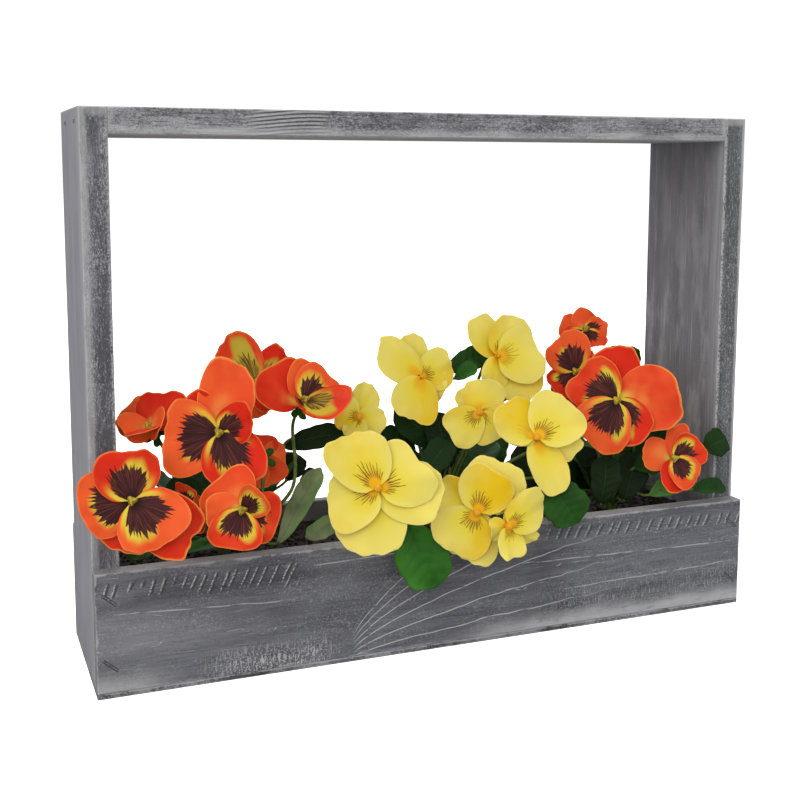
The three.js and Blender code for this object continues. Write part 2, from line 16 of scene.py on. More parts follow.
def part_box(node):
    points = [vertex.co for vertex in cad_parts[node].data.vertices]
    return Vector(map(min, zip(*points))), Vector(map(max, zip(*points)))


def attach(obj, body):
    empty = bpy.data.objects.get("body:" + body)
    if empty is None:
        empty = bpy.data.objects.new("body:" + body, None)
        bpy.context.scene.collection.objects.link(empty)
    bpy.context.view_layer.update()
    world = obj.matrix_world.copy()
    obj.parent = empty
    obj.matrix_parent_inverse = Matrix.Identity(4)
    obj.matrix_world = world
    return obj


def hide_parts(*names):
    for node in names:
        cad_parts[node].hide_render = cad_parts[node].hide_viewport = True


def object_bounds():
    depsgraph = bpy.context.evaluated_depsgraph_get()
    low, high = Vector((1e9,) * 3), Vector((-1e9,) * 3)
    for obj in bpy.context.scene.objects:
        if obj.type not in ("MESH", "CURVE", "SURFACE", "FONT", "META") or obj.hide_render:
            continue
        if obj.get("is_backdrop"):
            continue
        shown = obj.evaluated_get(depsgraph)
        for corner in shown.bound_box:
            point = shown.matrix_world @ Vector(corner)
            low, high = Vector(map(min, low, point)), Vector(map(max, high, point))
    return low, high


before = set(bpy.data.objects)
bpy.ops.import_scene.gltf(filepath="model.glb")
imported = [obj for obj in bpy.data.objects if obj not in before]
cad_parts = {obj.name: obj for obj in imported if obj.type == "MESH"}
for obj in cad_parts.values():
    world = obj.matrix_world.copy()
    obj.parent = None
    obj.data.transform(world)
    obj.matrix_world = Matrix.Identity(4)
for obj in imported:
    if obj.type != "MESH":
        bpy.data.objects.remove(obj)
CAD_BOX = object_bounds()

bl_info = {
    "name": "Planted window box",
    "version": (1, 0, 0),
    "blender": (4, 5, 0),
    "location": "3D View > Sidebar > Window box",
    "description": "Finishes a wooden planter box and its pansies",
    "category": "Object",
}

# Sizes below are millimetres, as the box was drawn; MM turns them into metres
MM = 0.001

# Trunks in the soil, branches, and the leaves' stalks
SOIL_TOP = 56
ROOT_DEEP = 34
TRUNK_RADIUS = 4
TRUNK_RISE = 10
TRUNK_STEPS = 20
BRANCH_RADIUS = 1.35
BRANCH_THIN = 0.75
BRANCH_START = 8
BRANCH_SAG = 4
BRANCH_STEPS = 40
NECK = 13
STALK_RADIUS = 0.8

# Behind a flower: how far its core reaches back, the core, the cup and its sepals, and the
# gap that the solids keep
CORE_BACK = 6.5
CORE_RADIUS = 2.3
CALYX_LONG = 7
CALYX_SIDES = 16
SEPALS = 5
SEPAL_LONG = 9
SEPAL_HALF = 2.1
SEPAL_GRID = (6, 10)
GAP = 0.3

# The soil's surface: its grid, how far it dips and waves in metres, and its seed
SOIL_GRID = (150, 36)
SOIL_DIP = 0.001
SOIL_WAVES = 0.0006
SOIL_SEED = 3

# A full turn in radians, for random turns
TURN = 6.28

# Petals: half the fan's angle, its roundness, where the blade starts, how wide a fan is for
# its length, how wide the notch, ripples, how far apart the layers are, how much more each
# is tilted in degrees, and the grid across and along
PETAL_SPREAD = 1.43
PETAL_ROUND = 0.7
PETAL_START = 0.06
PETAL_WIDTH = 1.127
NOTCH_SPREAD = 0.22
RIPPLES = 3.4
LAYER_STEP = 1.15
LAYER_TILT = 2.2
PETAL_GRID = (40, 22)

# What bends a petal besides its tone, and the numbers of a usual one
BENDS = ("angle", "long", "wide", "tilt", "cup", "wave", "curl", "arch", "notch", "layer")
USUAL_PETAL = {"tilt": 0, "cup": 1.2, "wave": 1.3, "notch": 0, "plain": 0, "thin": -0.1}

# Eyes: radius, height, and how lumpy. Then their level over the front petals, how far below
# it the dome starts, its sides, and its share of the radius if the flower is side on
EYES = {"orange": (2.3, 2.4, 0.28), "yellow": (2.1, 1.2, 0.0)}
EYE_RISE = 2.4
EYE_SINK = 1.2
EYE_SIDES = 28
EYE_SIDE_ON = 0.55

# Leaves: where the blade is widest, its grid across and along, the steps of its midrib,
# and half its thickness
WIDEST = 0.6
LEAF_GRID = (18, 30)
LEAF_STEPS = 48
LEAF_HALF = 0.3

# How much petals and leaves shine
CLOTH_GLOSS = 0.15

# The camera, fitted to the box's edges in the photograph: place in metres, turns in
# degrees, and the lens and its axis in pixels of the 800 x 800 frame
CAMERA_PLACE = Vector((-0.274667, -0.666294, 0.279998))
CAMERA_YAW = 21.196
CAMERA_PITCH = -7.181
CAMERA_ROLL = 0.136
FRAME_SIDE = 800
FOCAL_PIXELS = 1196
AXIS_PIXEL = (394.65, 317.22)
SENSOR = 36

# The lights: place and size in metres, and watts. They point at the flowers
LIGHTS = {
    "key": ((-1.4, -1.5, 1.2), 3.4, 60),
    "fill": ((1.3, -1.6, 0.7), 2.4, 11),
    "top": ((0.1, 0.2, 1.8), 1.0, 11),
    "rear": ((0.5, 1.7, 1.1), 1.8, 22),
}
LIGHTS_AIM = Vector((0, 0, 0.12))

# The white around: what it gives to the part, what it shows on top, and the floor's
# reach in metres, its glow to the eye and the share of its colour that it throws back
WORLD_LIGHT = 0.43
WORLD_SEEN = 0.62
FLOOR_REACH = 12
FLOOR_GLOW = 0.85
FLOOR_BOUNCE = 0.3


# A petal's numbers: its way in degrees from the flower's right, its length and width, its
# tilt in degrees, how far it cups, how deep its notch is, how pale its blotch is and how far
# its gold is dulled by painted shade (thin), its tone, and plain, which is one without marks
def back(angle, long, wide, **more):
    """A plain petal behind the face."""
    return {"angle": angle, "long": long, "wide": wide, "cup": 1.6, "plain": 1, **more}


def front(angle, long, wide, **more):
    """A marked petal of the face."""
    return {"angle": angle, "long": long, "wide": wide, **more}


def usual(size, roll):
    """The usual pansy: two plain petals behind at the top, two at the sides, one below."""
    return [
        back(125 + roll, size * 1.05, size * 1.15),
        back(55 + roll, size * 1.05, size * 1.15),
        front(190 + roll, size * 0.95, size * 1.05),
        front(-10 + roll, size * 0.95, size * 1.05),
        front(270 + roll, size, size * 1.2, notch=0.07),
    ]


# Flowers: name, colour, middle, turn, tip, and the petals from the rearmost on
FLOWERS = [
    ("a", "orange", (-185, -66, 111), -8, 14, [
        back(-100, 27, 30), back(-36, 42, 31), front(182, 28, 34, thin=-0.7), front(100, 28, 33),
        front(-48, 29, 38, tone=0.3)]),
    ("b", "orange", (-136, -50, 139), -13, 12, [
        back(135, 27, 24), back(78, 40, 31), front(28, 20, 22, tilt=25),
        front(188, 32, 39, thin=-0.4), front(-62, 32, 35)]),
    ("c", "orange", (-130, -75, 103), -14, 14, [
        back(128, 22, 32), back(190, 20, 22), front(35, 14, 18, tilt=48), front(-22, 21, 26),
        front(-110, 22, 27)]),
    ("d", "orange", (-168, -26, 139), -30, 30, [
        back(145, 22, 25), back(75, 24, 28), front(200, 13, 18, tilt=45, plain=1),
        front(0, 13, 18, tilt=45, plain=1), front(-75, 9, 20, tilt=58, plain=1)]),
    ("e", "orange", (-101, 4, 154), -10, 20, [
        back(-100, 21, 20), back(-50, 20, 18), front(200, 14, 16, thin=1),
        front(48, 25, 21, thin=1), front(124, 33, 26, thin=1)]),
    ("f", "orange", (-81, -24, 147), 5, 35, [
        back(125, 31, 36), back(60, 27, 28), front(215, 10, 13, tilt=45), front(40, 26, 27),
        front(-45, 22, 26, tilt=45, thin=0.6)]),
    ("g", "orange", (-104, -14, 113), 170, -20, usual(17, 180)),
    ("h", "orange", (-150, -38, 97), -60, 0, usual(15, 160)),
    ("i", "yellow", (-53, -70, 106), -20, 14, [
        back(-98, 38, 39), back(-8, 38, 34, tone=0.15), front(204, 31, 33, tone=0.1),
        front(28, 31, 37), front(122, 36, 33)]),
    ("j", "yellow", (7, -70, 86), -25, 14, [
        back(62, 35, 34), back(-98, 31, 28), back(150, 28, 24), front(-125, 28, 34),
        front(72, 28, 31)]),
    ("k", "yellow", (34, -15, 131), -25, 10, [
        back(112, 19, 22), back(80, 21, 26), front(-10, 16, 18), front(-62, 22, 20),
        front(-138, 25, 25)]),
    ("l", "yellow", (58, -43, 119), -20, 22, [
        back(-14, 29, 18), back(-68, 38, 22), front(172, 19, 13, plain=1),
        front(138, 30, 28, plain=0.7), front(42, 31, 35)]),
    ("m", "yellow", (1, 2, 152), 5, 15, [
        back(105, 29, 24), back(-32, 20, 20), front(15, 25, 26), front(142, 34, 25, plain=1),
        front(-112, 31, 31, plain=1)]),
    ("n", "yellow", (53, 2, 162), -5, 10, [
        back(114, 30, 20), back(-44, 38, 30), front(-100, 21, 17, plain=1), front(52, 29, 28),
        front(0, 30, 36, plain=0.5)]),
    ("o", "yellow", (20, -82, 80), 0, 10, [
        back(64, 20, 7), back(190, 12, 13), front(-30, 20, 11), front(-84, 20, 16),
        front(32, 26, 24)]),
    ("p", "yellow", (-45, -14, 134), 0, 5, [
        back(60, 21, 20), back(-25, 19, 19), front(115, 20, 7), front(-110, 15, 16),
        front(165, 15, 20)]),
    # Flower q's back petals take tones 1 and 0.5, whose deeper red is painted shade behind its face
    ("q", "orange", (119, -34, 136), -32, 11, [
        back(96, 36, 33, tone=1), back(4, 40, 42, tone=0.5), front(-58, 30, 28), front(148, 33, 33),
        front(-118, 34, 36)]),
    ("r", "orange", (110, 2, 149), -30, 10, [
        back(-60, 24, 24), back(-110, 24, 24), front(30, 18, 18), front(-140, 20, 20),
        front(112, 26, 30)]),
    ("s", "orange", (130, 26, 171), -15, 40, usual(17, 20)),
    ("t", "orange", (151, -50, 100), -20, 15, [
        back(165, 20, 21), back(75, 24, 13), back(-80, 22, 22), front(25, 21, 22),
        front(-55, 21, 20)]),
]

# Flowers that are seen side on
SIDE_ON = "mn"

# Plants: trunk, its flowers, and points that single branches pass by
PLANTS = {
    "left": ((-122, 4), "abcdefgh", {"f": (-92, -36, 100), "g": (-112, -38, 88)}),
    "middle": ((14, 6), "ijklmnop", {}),
    "right": ((138, 0), "qrst", {}),
}

# Leaves: where the blade starts, its tip, its full width, how far it faces up instead of to
# the front, its tone from painted shade (dark) to painted light (bright) and grey-green at the
# top, and the flower whose branch it grows on, if any
LEAVES = {
    "left": [
        ((-88, -6, 118), (-52, -14, 124), 15, 0.3, 0.1, "f"),
        ((-100, -31, 68), (-71, -24, 108), 13, 0, 0.9),
        ((-132, -14, 96), (-158, -10, 101), 12, 0.4, 0.2),
        ((-104, -33, 71), (-152, -36, 71), 13, 0.7, 0.4),
        ((-84, 4, 94), (-74, 8, 108), 15, 0.1, 0.1),
        ((-103, -8, 80), (-118, 10, 92), 14, 0.3, 0.2),
        ((-168, -32, 72), (-183, -35, 70), 10, 0.6, 0.3),
        ((-75, 6, 81), (-60, 16, 96), 13, 0.2, 0.2),
    ],
    "middle": [
        ((-29, -50, 80), (-17, -66, 43), 30, 0.1, 0.6),
        ((64, -46, 93), (78, -60, 69), 28, 0.1, 0.35),
        ((76, -14, 77), (64, -8, 106), 21, 0.1, 0.1),
        ((23, 16, 152), (57, 20, 161), 16, 0.2, 0.3, "m"),
        ((27, 10, 148), (41, 4, 156), 11, 0.4, 0.4, "m"),
        ((16, 4, 105), (-13, 8, 133), 22, 0.2, 0.2),
        ((18, -6, 94), (13, 4, 129), 20, 0.1, 0.1),
        ((65, 14, 131), (85, 18, 140), 14, 0.3, 0.2),
        ((77, -20, 73), (88, -14, 97), 19, 0.1, 0.1),
        ((-7, -20, 94), (15, -12, 114), 18, 0.2, 0.2),
        ((4, 14, 92), (-22, 18, 116), 24, 0.2, 0.2),
        ((28, 16, 96), (34, 20, 124), 24, 0.1, 0.2),
        ((50, 22, 80), (66, 26, 108), 24, 0.1, 0.3),
        ((-56, -30, 78), (-84, -36, 71), 12, 0.3, 0.8),
    ],
    "right": [
        ((136, 14, 158), (168, 16, 152), 13, 0.1, 0.2, "q"),
        ((176, -44, 102), (192, -47, 109), 18, 0.1, 0.22),
        ((168, -45, 77), (192, -48, 77), 12, 0.5, 0.3),
        ((133, -22, 67), (147, -14, 96), 21, 0, 0.05),
        ((113, -28, 68), (119, -24, 99), 20, 0, 0.05),
        ((140, -22, 88), (160, -30, 96), 17, 0.2, 0.3),
        ((126, 12, 66), (124, 14, 96), 23, 0, 0.1),
        ((144, -34, 73), (170, -36, 82), 14, 0.3, 0.7),
        ((155, 0, 87), (181, 4, 104), 20, 0.1, 0.2),
        ((120, 20, 74), (98, 24, 93), 18, 0.2, 0.3),
        ((112, 4, 70), (92, 6, 98), 22, 0.1, 0.2),
        ((150, 22, 74), (156, 26, 104), 24, 0.1, 0.3),
    ],
}

# Low leaves round the back of each trunk, in low tones of painted shade
RING = {"angles": (15, 62, 110, 165), "start": 14, "reach": 46, "low": 14, "high": 42,
        "wide": 27, "upward": 0.9, "tones": (0.1, 0.5), "seed": 7}

# The drawing of random numbers for them, the same as in the solids
RANDOM_STEP = 16807
RANDOM_SIZE = 2147483647


def rgb(code):
    """A colour written as six hex digits, turned into linear red, green, blue and alpha."""
    levels = [int(code[i:i + 2], 16) / 255 for i in (1, 3, 5)]
    return [s / 12.92 if s < 0.04045 else ((s + 0.055) / 1.055) ** 2.4 for s in levels] + [1]


class Field:
    """A value in a node tree. Arithmetic on fields adds Math nodes to the tree."""

    def __init__(self, tree, socket):
        self.tree = tree
        self.socket = socket

    def calc(self, operation, *others):
        """A Math node over this field and others."""
        return calc(self.tree, operation, self, *others)

    def __add__(self, other):
        return self.calc("ADD", other)

    def __sub__(self, other):
        return self.calc("SUBTRACT", other)

    def __rsub__(self, other):
        return calc(self.tree, "SUBTRACT", other, self)

    def __mul__(self, other):
        return self.calc("MULTIPLY", other)

    def __truediv__(self, other):
        return self.calc("DIVIDE", other)

    def __rtruediv__(self, other):
        return calc(self.tree, "DIVIDE", other, self)

    def __pow__(self, other):
        return self.calc("POWER", other)

    def __abs__(self):
        return self.calc("ABSOLUTE")

    __radd__ = __add__
    __rmul__ = __mul__


def put(value, socket):
    """Links a field to a socket, or sets a plain value on it."""
    if isinstance(value, Field):
        value.tree.links.new(value.socket, socket)
    else:
        socket.default_value = value


def add(tree, kind, inputs=(), output=0, **settings):
    """Adds a node, fills its settings and inputs, and returns one output as a field."""
    node = tree.nodes.new(kind)
    for key, value in settings.items():
        setattr(node, key, value)
    for key, value in dict(inputs).items():
        put(value, node.inputs[key])
    return Field(tree, node.outputs[output])


def calc(tree, operation, *values):
    """A Math node over fields and numbers."""
    return add(tree, "ShaderNodeMath", enumerate(values), operation=operation)


def greatest(value, *others):
    """The largest of several fields, spot by spot."""
    for other in others:
        value = value.calc("MAXIMUM", other)
    return value


def sine(value):
    """The sine of a field in radians."""
    return value.calc("SINE")


def fraction(value):
    """What a field has past a whole number."""
    return value.calc("FRACT")


def line_at(value, width):
    """One where the value is close to a whole number."""
    return ramp(abs(fraction(value + 0.5) - 0.5), width, width * 0.3)


def combine(tree, x, y, z):
    """A vector from three fields or numbers."""
    return add(tree, "ShaderNodeCombineXYZ", {0: x, 1: y, 2: z})


def split(vector):
    """The x, y and z of a vector, as fields."""
    node = vector.tree.nodes.new("ShaderNodeSeparateXYZ")
    put(vector, node.inputs[0])
    return [Field(vector.tree, socket) for socket in node.outputs]


def vector_calc(operation, *vectors):
    """A Vector Math node over vectors."""
    return add(vectors[0].tree, "ShaderNodeVectorMath", enumerate(vectors), operation=operation)


def scaled(vector, factor):
    """A vector made longer by a factor."""
    return add(vector.tree, "ShaderNodeVectorMath", {0: vector, 3: factor}, operation="SCALE")


def ramp(value, low, high, to_low=0.0, to_high=1.0):
    """Smooth step from to_low, where the value is at low, to to_high, where it is at high."""
    inputs = {"Value": value, "From Min": low, "From Max": high,
              "To Min": to_low, "To Max": to_high}
    return add(value.tree, "ShaderNodeMapRange", inputs, interpolation_type="SMOOTHSTEP")


def blend(factor, under, over):
    """The colour under, covered by the colour over as far as the factor says."""
    return add(factor.tree, "ShaderNodeMix", {0: factor, 6: under, 7: over}, output=2,
               data_type="RGBA")


def coats(color, *layers):
    """A colour with layers laid over it in turn, each a mask and its own colour."""
    for factor, over in layers:
        color = blend(factor, color, over)
    return color


def noise(axes, scale, seed=0.0, detail=3.0, rough=0.5):
    """Noise from 0 to 1 over three fields. A larger scale, also by axis, has finer grains."""
    tree = axes[0].tree
    scales = scale if isinstance(scale, tuple) else (scale,) * 3
    spot = combine(tree, *(axis * size for axis, size in zip(axes, scales)))
    inputs = {"Vector": spot, "W": seed, "Scale": 1.0, "Detail": detail, "Roughness": rough}
    return add(tree, "ShaderNodeTexNoise", inputs, noise_dimensions="4D")


def chance(x, y):
    """A random number from 0 to 1 for each pair of numbers."""
    return add(x.tree, "ShaderNodeTexWhiteNoise", {"Vector": combine(x.tree, x, y, 0.0)},
               noise_dimensions="2D")


def attribute(tree, name):
    """A number that the mesh holds under this name."""
    if tree.bl_idname == "GeometryNodeTree":
        return add(tree, "GeometryNodeInputNamedAttribute", {"Name": name}, data_type="FLOAT")
    return add(tree, "ShaderNodeAttribute", output=2, attribute_name=name)


def object_point(tree):
    """Where the shaded spot is on the part, in millimetres, as a vector."""
    return scaled(add(tree, "ShaderNodeTexCoord", output=3), 1 / MM)


SOCKETS = {float: "NodeSocketFloat", list: "NodeSocketColor", tuple: "NodeSocketVector"}


def new_group(name, inputs, outputs=None, kind="ShaderNodeTree"):
    """A node group. Its inputs are given by their defaults and its outputs by their types.

    Returns the tree, its inputs as fields, and its output node.
    """
    tree = bpy.data.node_groups.new(name, kind)
    if kind == "GeometryNodeTree":
        for way in ("INPUT", "OUTPUT"):
            tree.interface.new_socket("Geometry", in_out=way, socket_type="NodeSocketGeometry")
    for label, default in inputs.items():
        socket = tree.interface.new_socket(label, socket_type=SOCKETS[type(default)])
        socket.default_value = default
    for label, value_type in (outputs or {}).items():
        tree.interface.new_socket(label, in_out="OUTPUT", socket_type=SOCKETS[value_type])
    source = tree.nodes.new("NodeGroupInput")
    sink = tree.nodes.new("NodeGroupOutput")
    fields = {socket.name: Field(tree, socket) for socket in source.outputs if socket.name}
    return tree, fields, sink


def give(tree, sink, **values):
    """Feeds a group's outputs and returns the group."""
    for label, value in values.items():
        put(value, sink.inputs[label.capitalize()])
    return tree


def place_group(tree, build, **values):
    """Places a shared group, which is built at its first use, and returns its outputs."""
    name = build.__name__.replace("_", " ").capitalize()
    node = tree.nodes.new("ShaderNodeGroup")
    node.node_tree = bpy.data.node_groups.get(name) or build(name)
    for label, value in values.items():
        put(value, node.inputs[label.capitalize()])
    return [Field(tree, socket) for socket in node.outputs]


def edge_wear(name):
    """How worn a board is near its edges and corners."""
    inputs = {"Point": (0.0, 0.0, 0.0), "Centre": (0.0, 0.0, 0.0), "Half": (1.0, 1.0, 1.0),
              "Reach": 3.0, "Seed": 0.0}
    tree, use, sink = new_group(name, inputs, {"Wear": float})
    away = vector_calc("ABSOLUTE", vector_calc("SUBTRACT", use["Point"], use["Centre"]))
    x, y, z = split(vector_calc("SUBTRACT", use["Half"], away))
    least = x.calc("MINIMUM", y).calc("MINIMUM", z)
    to_edge = x + y + z - least - greatest(x, y, z)
    rough = noise(split(use["Point"]), 0.09, use["Seed"], 6.0, 0.7)
    reach = use["Reach"] * ramp(rough, 0.35, 0.75, 0.15, 2.2)
    return give(tree, sink, wear=ramp(to_edge, reach, reach * 0.2))


def wood_wash(name):
    """Grey wash on sawn wood: tone bands along the grain, dark fibres and rubbed pale flecks."""
    inputs = {"Along": 0.0, "Across": 0.0, "Through": 0.0, "Seed": 0.0, "Streaks": 0.5,
              "Scuffs": 0.5, "Wash": rgb("#75757a"), "Shade": rgb("#4d4d52"),
              "Pale": rgb("#a5a5a8")}
    tree, use, sink = new_group(name, inputs, {"Color": list, "Roughness": float,
                                               "Height": float})
    along, across, through, seed, streaks, scuffs, wash, shade, pale = use.values()
    straight = (along, across, through)
    bend = noise(straight, (0.012, 0.03, 0.03), seed, 2.0)
    bent = (along, across + bend * 9, through)
    fibre = noise(bent, (0.035, 1.25, 1.25), seed, 7.0, 0.6)
    dash = noise(bent, (0.09, 2.3, 2.3), seed + 41, 3.0, 0.55)
    band = noise(bent, (0.007, 0.12, 0.12), seed)
    cloud = noise(straight, (0.03, 0.05, 0.05), seed + 3, 4.0)
    patch = noise(straight, (0.02, 0.07, 0.07), seed + 7)
    rub = noise(straight, (0.025, 0.09, 0.09), seed + 31)
    salt = noise(straight, (0.7, 1.9, 1.9), seed + 23, 4.0, 0.75)
    grit = noise(straight, (1.1, 1.5, 1.5), seed + 19, 2.0, 0.6)
    worn = 0.3 + ramp(patch, 0.4, 0.6) * scuffs * 0.17
    rubbed = 0.71 - ramp(rub, 0.4, 0.62) * scuffs * 0.15
    pits = ramp(salt, worn + 0.04, worn - 0.03)
    flecks = ramp(salt, rubbed - 0.04, rubbed + 0.03)
    speckled = ramp(rub, 0.3, 0.6) * scuffs
    tone = band * 0.6 + cloud * 0.4
    color = coats(
        blend(ramp(tone, 0.3, 0.6), shade, wash),
        (ramp(fibre, 0.5, 0.36) * streaks * 0.7, shade),
        (ramp(fibre, 0.58, 0.76) * streaks * 0.4, pale),
        (ramp(dash, 0.4, 0.33) * streaks * 0.8, shade),
        (ramp(dash, 0.61, 0.69) * streaks * 0.55, pale),
        (pits * 0.75, shade),
        (flecks * 0.65, pale),
        (ramp(grit, 0.43, 0.36) * speckled * 0.7, shade),
        (ramp(grit, 0.57, 0.64) * speckled * 0.85, pale))
    return give(tree, sink, color=color,
                roughness=ramp(tone + flecks * 0.3, 0.3, 0.8, 0.62, 0.85),
                height=fibre * 0.6 + grit * 0.25 - pits * 0.4 + flecks * 0.25)


def cloth(name):
    """Pressed cloth of petals and leaves: fine weave, soft mottling, and the cut rim."""
    inputs = {"Point": (0.0, 0.0, 0.0), "Along": 0.0, "Seed": 0.0, "Rim": 0.955}
    tree, use, sink = new_group(name, inputs, {"Mottle": float, "Rim": float, "Height": float})
    axes = split(use["Point"])
    weave = noise(axes, 2.6, use["Seed"], 2.0)
    crease = noise(axes, 0.22, use["Seed"])
    mottle = noise(axes, 0.07, use["Seed"], 2.0)
    edge = use["Along"] + (crease - 0.5) * 0.04
    return give(tree, sink, mottle=ramp(mottle, 0.3, 0.7), rim=ramp(edge, use["Rim"], 1.0),
                height=weave * 0.3 + crease * 0.7)


def new_material(name):
    """A material with an empty shader, and its node tree."""
    made = bpy.data.materials.new(name)
    made.use_nodes = True
    return made, made.node_tree


def finish(made, color, rough, height=None, depth=0.0002, strength=0.6, gloss=0.3):
    """Feeds a material's shader. The height is in units of depth, in metres."""
    shader = made.node_tree.nodes["Principled BSDF"]
    put(color, shader.inputs["Base Color"])
    put(rough, shader.inputs["Roughness"])
    put(gloss, shader.inputs["Specular IOR Level"])
    if height is not None:
        inputs = {"Height": height, "Distance": depth, "Strength": strength}
        put(add(made.node_tree, "ShaderNodeBump", inputs), shader.inputs["Normal"])
    return made


# Plain finishes: the noise's scale and seed, where it turns from the first colour to the
# second, the two colours, roughness, depth of the relief in metres, and how metallic it is
PLAIN = {
    "staple_steel": (0.9, 1.0, 0.35, 0.65, "#606066", "#a0a0a4", (0.35, 0.65), 0.0001, 0.85),
    "eye_olive": (0.8, 3.0, 0.38, 0.62, "#86701e", "#c8a834", 0.55, 0.0004, 0),
    "eye_gold": (0.8, 3.0, 0.38, 0.62, "#d99214", "#e8aa20", 0.55, 0.0004, 0),
    "stem_green": ((0.5, 0.5, 0.12), 8.0, 0.35, 0.65, "#3f5a24", "#66742e", 0.6, 0.0003, 0),
}


def plain_material(name):
    """Two colours mixed by a fine noise, which is also the relief."""
    scale, seed, low, high, first, second, rough, depth, metal = PLAIN[name]
    made, tree = new_material(name)
    grain = noise(split(object_point(tree)), scale, seed, 4.0)
    color = blend(ramp(grain, low, high), rgb(first), rgb(second))
    if isinstance(rough, tuple):
        rough = ramp(grain, 0.3, 0.7, *rough)
    put(metal, tree.nodes["Principled BSDF"].inputs["Metallic"])
    return finish(made, color, rough, grain, depth=depth)


def soil_material():
    """Dark soil with paler crumbs."""
    settings = bpy.context.scene.window_box_soil
    made, tree = new_material("soil_crumbs")
    axes = split(object_point(tree))
    fine = noise(axes, 0.9, 4.0, 6.0, 0.7)
    color = coats(
        rgb("#0d0907"),
        (ramp(fine, 0.35, 0.7), [*settings.colour, 1]),
        (ramp(noise(axes, 0.12, 6.0), 0.5, 0.7) * 0.5, rgb("#3a2c1e")))
    return finish(made, color, 0.95, fine, depth=0.0006, strength=0.8)


def chips(along, across, seed):
    """Clusters of small dark chips and pale ones, where the wash has come off."""
    axes = (along, across, 0.0)
    bare = ramp(noise(axes, (0.045, 0.15, 0), seed), 0.42, 0.55)
    grain = noise(axes, (0.3, 0.8, 0), seed + 5, 4.0, 0.75)
    return bare * ramp(grain, 0.48, 0.42), bare * ramp(grain, 0.57, 0.62)


def scratch(x, z, left, right, height, slope):
    """A thin line along a board from left to right, which rises with the slope."""
    near = abs(z - (x - left) * slope - height)
    return ramp(near, 0.5, 0.2) * ramp(x, left, left + 8) * ramp(x, right, right - 12)


def rail_marks(axes, facing, low, high):
    """Dark arched grain lines on the rail's face in a smooth pale spot, chips round it, and painted
    light on the shaded underside.
    """
    x, _, z = axes
    wobble = noise(axes, (0.04, 0, 0.1), 4.0) - 0.5
    lines = line_at((z + (x + 72) * (x + 72) * 0.0016) * 0.5 + wobble * 0.7, 0.3)
    spot = ramp(x + wobble * 20, -122.0, -106.0) * ramp(x + wobble * 20, -66.0, -78.0)
    dark, bare = (mask * facing * (1 - spot) for mask in chips(x, z, 21.0))
    foot = ramp(z + wobble * 5, low.z + 5.5, low.z + 2.5) * facing
    # Painted light: the underside lies in shade, so it is painted pale to brighten it
    painted_underside_light = ramp(z, low.z + 0.5, low.z + 0.2) * (1 - facing)
    ends = ramp(abs(x) + wobble * 3, high.x - 4, high.x - 1.5) * facing
    light = greatest(spot * (1 - lines) * facing * 0.5, foot * 0.4, painted_underside_light * 0.9, bare * 0.85,
                     ends * 0.35)
    return light, greatest(lines * spot * facing, dark * 0.65)


def post_marks(axes, facing, low, high):
    """Pale margins where the front meets the wide sides, chips, and hair-thin streaks."""
    x, y, z = axes
    sides = 1 - facing
    inside, outside = sorted((abs(low.x), abs(high.x)))
    broad, strength, mottled = (5.0, 0.45, 0.1) if high.x < 0 else (3.0, 0.62, 0.5)
    wobble = noise(axes, (0.1, 0.1, 0.03), 6.0) - 0.5
    outer = ramp(abs(x) + wobble * broad, outside - broad, outside - broad / 2)
    top = ramp(z + wobble * 4, high.z - 6, high.z - 3)
    dark, bare = (mask * facing for mask in chips(z, x, 17.0 + broad))
    edge = ramp(abs(x) - wobble * 3, inside + 2.2, inside + 0.8)
    specks = ramp(noise(axes, (1.1, 0, 0.6), 25.0), 0.46, 0.54)
    near_front = ramp(y + wobble * 6, low.y + 15, low.y + 3)
    streaks = ramp(noise(axes, (0.5, 0.9, 0.012), 8.0), 0.4, 0.6, 0.14, 0.42)
    hair = ramp(noise(axes, (0.5, 1.6, 0.02), 3.0, 2.0), 0.61, 0.67)
    rub = ramp(noise(axes, (0.11, 0.07, 0.02), 33.0, 5.0, 0.6), 0.46, 0.64)
    light = greatest(
        facing * greatest(outer, top * 0.8) * strength,
        sides * near_front * streaks,
        sides * hair * (0.25 + mottled * 0.5),
        sides * rub * ramp(z, 270.0, 130.0, 0.3) * mottled,
        greatest(bare, edge * specks * facing) * 0.75)
    return light, dark * 0.6


# Scratches on the front board: left end, right end, height and slope
SCRATCHES = ((-196, -92, 46, -0.045), (-86, -14, 59, 0.03), (44, 202, 45, -0.02),
             (70, 202, 25, 0.03))


